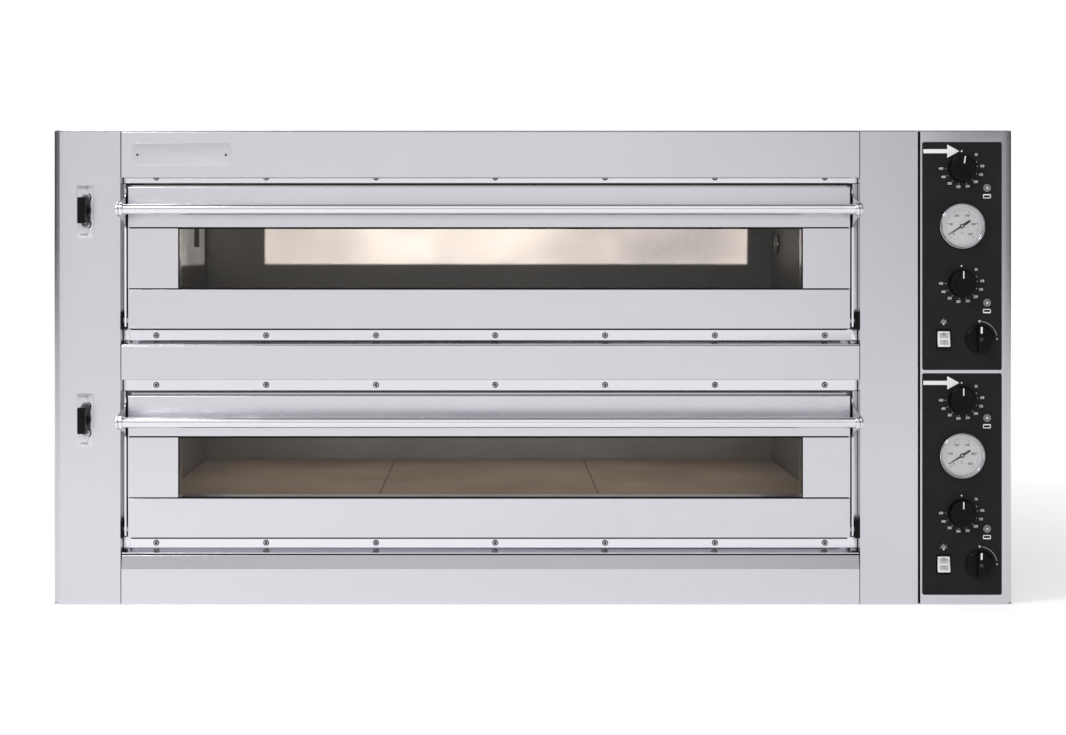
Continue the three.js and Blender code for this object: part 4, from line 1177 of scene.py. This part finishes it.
def power_knob(deck):
    """Round base with an upright grip, a white mark on the grip and a thin black disc in the middle."""
    node = f"{deck}_power_knob"
    place = on_panel(f"{deck}_power_turn")
    body = f"{deck}_power_control"
    bm = bmesh.new()
    base = filleted([(3.0, -14), (3.0, 1), (22.5, 1), (22.5, 3.6), (19.5, 6.0), (0.0, 6.0)], 1.0)
    lathe(bm, place, base, 72)
    grip_front = 14.0 * MM
    grip = rounded_rectangle(9.6 * MM, 42.0 * MM, 4.4 * MM, 10)
    plate(bm, place, grip, grip_front - 5.0 * MM, 1.2 * MM, 5.0 * MM)
    make_piece(f"{node}_moulding", bm, body, "black_knob", (node,))
    raised = moved(place, 0, 14.2 * MM, grip_front - 0.1 * MM)
    bar = rounded_rectangle(2.9 * MM, 10.5 * MM, 0.8 * MM)
    flat_piece(f"{node}_mark", raised, bar, 0.25 * MM, 0.08 * MM, body, "printed_white")
    centre = moved(place, 0, 0, grip_front - 0.1 * MM)
    flat_piece(f"{node}_plug", centre, circle(2.9 * MM, 24), 0.2 * MM, 0.05 * MM, body, "needle_black")


def power_scale(deck):
    """Pointer above the power knob, the arc it turns through and the dot at its end."""
    place = on_panel(f"{deck}_power_turn")
    bm = bmesh.new()
    radius = 27.5 * MM
    steps = 24

    def arc(offset):
        return [clockwise(6 + 74 * k / steps, radius + offset) for k in range(steps + 1)]

    points = arc(0.18 * MM) + arc(-0.18 * MM)[::-1]
    printed_shape(bm, place, points)
    printed_plate(bm, moved(place, *clockwise(90, radius)), circle(1.0 * MM, 16))
    triangle = [(-2.0 * MM, radius + 1.6 * MM), (0.0, radius - 2.2 * MM), (2.0 * MM, radius + 1.6 * MM)]
    printed_shape(bm, place, triangle)
    make_piece(f"{deck}_power_scale", bm, "housing", "printed_white")


def lamp_switch(deck):
    """White rocker in a black bezel, with its 0 and I marks and a lamp symbol above."""
    node = f"{deck}_lamp_rocker"
    low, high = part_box(node)
    pivot = joint_place(f"{deck}_lamp_switch_rock")
    half_width = (high.x - low.x) / 2
    half = (high.z - low.z) / 2
    foot = low.y - pivot.y
    section = filleted(
        [(4 * MM, -half + 2 * MM), (4 * MM, half - 2 * MM), (-4 * MM, half), (-5.5 * MM, 0), (foot, -half),
         (4 * MM, -half + 2 * MM)],
        0.8 * MM,
    )[1:-1]
    bm = bmesh.new()
    rings = []
    shoulder = half_width - 0.5 * MM
    for x, inset in ((-half_width, 0.06), (-shoulder, 0.0), (shoulder, 0.0), (half_width, 0.06)):
        rings.append([pivot + Vector((x, y * (1 - inset), z * (1 - inset))) for y, z in section])
    loft(bm, rings)
    body = f"{deck}_lamp_switch"
    make_piece(f"{node}_key", bm, body, "rocker_white", (node,))
    marks, fields = bmesh.new(), bmesh.new()
    crest = -5.5 * MM
    for edge, side, letter, share in ((-4 * MM, 1, "O", 0.62), (foot, -1, "I", 0.36)):
        tilt = Matrix.Rotation(-math.atan2(abs(edge - crest), half), 4, "X")

        def on_key(part, lift):
            place = pivot + Vector((0, crest + (edge - crest) * part - lift, side * half * part))
            return Matrix.Translation(place) @ tilt @ FORWARD

        lettering(marks, letter, 4.6 * MM, on_key(share, 0.10 * MM), PRINT, 0.1 * MM)
        field = rounded_rectangle(2 * half_width - 5.6 * MM, 0.66 * half, 0.8 * MM)
        plate(fields, on_key(0.42, 0.02 * MM), field, 0.06 * MM, 0.02 * MM)
    make_piece(f"{node}_marks", marks, body, "needle_black")
    make_piece(f"{node}_fields", fields, body, "rocker_white", material=RECESSED_PLASTIC)
    bezel = bmesh.new()
    outer = rounded_rectangle(2 * half_width + 4.0 * MM, 2 * half + 6.4 * MM, 1.5 * MM)
    inner = rounded_rectangle(2 * half_width + 0.8 * MM, 2 * half + 3.4 * MM, 0.8 * MM)
    ring_plate(bezel, on_panel(f"{deck}_lamp_switch_rock"), outer, inner, 1.8 * MM, 0.7 * MM)
    make_piece(f"{deck}_lamp_switch_bezel", bezel, "housing", "black_knob")
    lamp_symbol(deck, pivot)


def lamp_symbol(deck, pivot):
    """Outline of a light bulb with its rays."""
    place = at(pivot.x, PANEL_FACE, pivot.z + 26.5 * MM)
    bm = bmesh.new()
    ring_plate(bm, place, circle(2.4 * MM, 20), circle(1.7 * MM, 20), PRINT, 0.01 * MM)
    printed_plate(bm, moved(place, 0, -3.4 * MM), rounded_rectangle(2.0 * MM, 1.9 * MM, 0.4 * MM))
    for angle in (-100, -50, 0, 50, 100):
        u, v = clockwise(angle, 4.4 * MM)
        ray = rounded_rectangle(0.6 * MM, 1.8 * MM, 0.2 * MM)
        printed_plate(bm, moved(place, u, v, clock=angle), ray)
    make_piece(f"{deck}_lamp_symbol", bm, "housing", "printed_white")


COLD_ANGLE = 225.0  # clockwise from the top, of 0 degrees on the thermometer
ANGLE_PER_HUNDRED = 54.0


def thermometer(deck):
    """Round thermometer: polished bezel with a black ring painted as shade in its groove, pale dial with its
    scale, and a domed glass.
    """
    node = f"{deck}_thermometer"
    place = on_panel(f"{deck}_thermometer_swing")
    bezel = filleted(
        [
            (31.0, -34.0), (31.0, 0.4), (35.7, 0.4), (35.7, 6.3), (34.9, 7.7), (34.2, 7.7), (34.1, 6.7),
            (33.3, 6.7), (33.2, 7.7), (32.1, 7.4), (31.3, 3.0), (31.0, 2.0),
        ],
        0.4,
    )
    case = bezel + [(0.0, 2.0)]
    turned_piece(f"{node}_case", place, case, 96, "housing", "polished_stainless", replaces=(node,))
    # Black ring at the bottom of the bezel's groove: painted shade
    groove = bmesh.new()
    ring_plate(groove, place, circle(34.1 * MM, 96), circle(33.3 * MM, 96), 0.5 * MM, 0.1 * MM, 6.6 * MM)
    make_piece(f"{node}_groove", groove, "housing", "gasket_black")
    dial = [(0.0, 2.0), (31.2, 2.0), (31.2, 2.3), (30.4, 2.5), (0.0, 2.5)]
    turned_piece(f"{node}_dial", place, dial, 96, "housing", "gauge_face")
    scale = bmesh.new()
    face = moved(place, 0, 0, 2.5 * MM)
    for k in range(51):
        angle = COLD_ANGLE + ANGLE_PER_HUNDRED * k / 10
        major = k % 10 == 0
        length = (3.6 if major else 2.4 if k % 5 == 0 else 1.5) * MM
        u, v = clockwise(angle, 26.0 * MM - length / 2)
        tick = rounded_rectangle((0.6 if major else 0.25) * MM, length, 0.05 * MM, 1)
        printed_plate(scale, moved(face, u, v, clock=angle), tick)
        if major:
            u, v = clockwise(angle, 18.2 * MM)
            lettering(scale, str(10 * k), 3.4 * MM, moved(face, u, v), PRINT, 0.10 * MM)
    lettering(scale, "\u00b0C", 3.2 * MM, moved(face, 0, -11 * MM), PRINT)
    make_piece(f"{node}_scale", scale, "housing", "needle_black")
    dome = [(31.0, 6.0), (31.0, 6.5), (24.0, 7.1), (12.0, 7.5), (0.0, 7.6), (0.0, 6.9), (20.0, 6.5)]
    turned_piece(f"{node}_lens", place, dome, 64, "housing", "clear_lens", looped=True)


def thermometer_needle(deck):
    """Slender pointer with a thicker tail and a small bright hub."""
    node = f"{deck}_thermometer_needle"
    gauge = joint_place(f"{deck}_thermometer_swing")
    rest = COLD_ANGLE + ANGLE_PER_HUNDRED * 0.23
    place = moved(at(*gauge), 0, 0, clock=rest)
    tail = 1.7
    outline = [(-0.45, 25.0), (-1.35, 2.0), (-tail, -3.0)]
    turns = [math.pi * (1 + k / 8) for k in range(9)]
    outline += [(tail * math.cos(a), -14.0 + tail * math.sin(a)) for a in turns]
    outline += [(tail, -3.0), (1.35, 2.0), (0.45, 25.0)]
    bm = bmesh.new()
    loft(bm, [[place @ Vector((u * MM, v * MM, w * MM)) for u, v in outline] for w in (0.5, 1.1)])
    body = f"{deck}_thermometer_pointer"
    make_piece(f"{node}_blade", bm, body, "needle_black", (node,))
    hub = filleted([(3.6, 0.3), (3.6, 1.6), (0.0, 1.8)], 0.5)
    turned_piece(f"{node}_hub", place, hub, 32, body, "needle_black")
    cap = filleted([(1.6, 1.5), (1.6, 2.2), (0.0, 2.4)], 0.4)
    turned_piece(f"{node}_cap", place, cap, 24, body, "gauge_face")


for deck in DECKS:
    soften(f"{deck}_control_panel", fold=0.5 * MM, rim=0.3 * MM)
    for heat in ("top", "bottom"):
        thermostat_scale(deck, heat)
        thermostat_knob(deck, heat, TURNED_INDEX if (deck, heat) == ("upper", "top") else 0.0)
        pilot_lamp(deck, heat)
    panel_arrow(deck)
    power_knob(deck)
    power_scale(deck)
    lamp_switch(deck)
    thermometer(deck)
    thermometer_needle(deck)

# ---------------------------------------------------------------------------
# Light, floor and camera
# ---------------------------------------------------------------------------

CAMERA_PLACE = Vector((-0.069, FRONT - 3.2, 0.560))
FRAME_WIDTH = 1.675  # of the view, at the front of the oven
SENSOR = 36.0


def add_camera():
    data = bpy.data.cameras.new("camera")
    data.sensor_width = SENSOR
    data.lens = SENSOR * (FRONT - CAMERA_PLACE.y) / FRAME_WIDTH
    data.shift_x = 0.0412
    data.shift_y = -0.112
    data.clip_end = 50.0
    camera = bpy.data.objects.new("camera", data)
    camera.location = CAMERA_PLACE
    camera.rotation_euler = (math.pi / 2, 0.0, 0.0)
    bpy.context.scene.collection.objects.link(camera)
    bpy.context.scene.camera = camera


def add_area_light(name, place, aim, size, power, color=(1.0, 1.0, 1.0), spread=180.0):
    """Rectangular light that shines along aim, with its spread in degrees."""
    data = bpy.data.lights.new(name, "AREA")
    data.shape = "RECTANGLE"
    data.size, data.size_y = size
    data.energy = power
    data.color = color
    data.spread = math.radians(spread)
    light = bpy.data.objects.new(name, data)
    light.location = place
    light.rotation_euler = Vector(aim).to_track_quat("-Z", "Y").to_euler()
    bpy.context.scene.collection.objects.link(light)


def ramp_over(tree, value, stops):
    """Grey ramp over a value from -1 to 1; each stop is (value, level)."""
    span = tree.nodes.new("ShaderNodeMapRange")
    span.inputs["From Min"].default_value = -1.0
    tree.links.new(value, span.inputs["Value"])
    ramp = tree.nodes.new("ShaderNodeValToRGB")
    tree.links.new(span.outputs["Result"], ramp.inputs["Fac"])
    elements = ramp.color_ramp.elements
    while len(elements) < len(stops):
        elements.new(0.5)
    for element, (position, level) in zip(elements, stops):
        element.position = (position + 1.0) / 2
        element.color = (level, level, level, 1.0)
    return ramp.outputs["Color"]


def add_world():
    """Plain studio: bright in front, darker to the right, behind and straight above; seen as white."""
    world = bpy.data.worlds.new("studio")
    world.use_nodes = True
    tree = world.node_tree
    background = tree.nodes["Background"]
    place = tree.nodes.new("ShaderNodeTexCoord").outputs["Generated"]
    parts = tree.nodes.new("ShaderNodeSeparateXYZ")
    tree.links.new(place, parts.inputs[0])
    levels = [
        ramp_over(tree, parts.outputs["X"], [
            (-1.0, 0.12), (-0.75, 0.25), (-0.55, 0.8), (-0.3, 0.92), (-0.1, 0.96), (0.05, 1.03),
            (0.16, 1.0), (0.21, 0.75), (0.26, 0.38), (0.4, 0.3), (1.0, 0.2),
        ]),
        ramp_over(tree, parts.outputs["Y"], [
            (-1.0, 1.0), (0.0, 1.0), (0.15, 0.3), (0.6, 0.35), (1.0, 0.5),
        ]),
        ramp_over(tree, parts.outputs["Z"], [
            (-1.0, 0.8), (-0.1, 1.0), (0.1, 1.0), (0.22, 0.8), (0.32, 0.6), (0.42, 0.6),
            (0.58, 1.2), (0.86, 1.2), (0.95, 0.35), (1.0, 0.3),
        ]),
    ]
    product = levels[0]
    for level in levels[1:]:
        multiply = tree.nodes.new("ShaderNodeVectorMath")
        multiply.operation = "MULTIPLY"
        tree.links.new(product, multiply.inputs[0])
        tree.links.new(level, multiply.inputs[1])
        product = multiply.outputs[0]
    mix = tree.nodes.new("ShaderNodeMix")
    mix.data_type = "RGBA"
    tree.links.new(tree.nodes.new("ShaderNodeLightPath").outputs["Is Camera Ray"], mix.inputs[0])
    tree.links.new(product, mix.inputs[6])
    mix.inputs[7].default_value = (1.0, 1.0, 1.0, 1.0)
    tree.links.new(mix.outputs[2], background.inputs["Color"])
    background.inputs["Strength"].default_value = 1.12
    bpy.context.scene.world = world


def add_floor():
    """Round pale floor sheet."""
    mesh = bpy.data.meshes.new("floor")
    bm = bmesh.new()
    bmesh.ops.create_circle(bm, cap_ends=True, segments=96, radius=12.0)
    bm.to_mesh(mesh)
    bm.free()
    floor = bpy.data.objects.new("floor", mesh)
    floor.location.z = -0.0005
    bpy.context.scene.collection.objects.link(floor)
    finish = Finish("pale_floor")
    fine = finish.noise(scale=3.0, detail=4.0)
    distance = finish.node("ShaderNodeVectorMath", {0: finish.place}, operation="LENGTH").outputs["Value"]
    finish.set(
        Base_Color=finish.ramp(fine, (0.3, grey(0.86)), (0.7, grey(0.88))),
        Roughness=finish.spread(fine, 0.7, 0.8),
        Emission_Color=(1.0, 1.0, 1.0, 1.0),
        Emission_Strength=finish.spread(distance, 0.5, 0.72, 0.8, 2.6),
    )
    mesh.materials.append(finish.material)


def add_chamber_lights():
    """Glow on the back wall of the upper chamber, and a dim light over the stones of the lower one."""
    low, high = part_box("upper_stone_floor")
    back = high.y + 1 * MM
    base = high.z + 51 * MM
    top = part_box("upper_chamber_liner")[1].z - 4 * MM
    height = (base + top) / 2
    warm = (1.0, 0.93, 0.90)
    near = 0.03
    glow = Vector((-0.036, back - near, height))
    add_area_light("glow", glow, (0, 1, 0), (0.940, top - base), 0.17, color=warm, spread=14.0)
    side = Vector((low.x + near, back - 0.30, height))
    add_area_light("side_glow", side, (-1, 0, 0), (0.55, top - base), 0.45, spread=20.0)
    low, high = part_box("lower_stone_floor")
    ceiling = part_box("lower_top_heater")[0].z - 3 * MM
    lit = Vector(((low.x + high.x) / 2, (low.y + high.y) / 2, ceiling))
    add_area_light("dim", lit, (0, 0, -1), (1.0, 0.6), 1.0, (1.0, 0.95, 0.9))


add_camera()
add_world()
add_floor()
add_area_light("key", (-1.2, FRONT - 1.0, 2.2), aim=(1.4, 1.0, -1.8), size=(0.8, 0.6), power=25.0)
add_chamber_lights()
bpy.context.scene.view_settings.view_transform = "Standard"
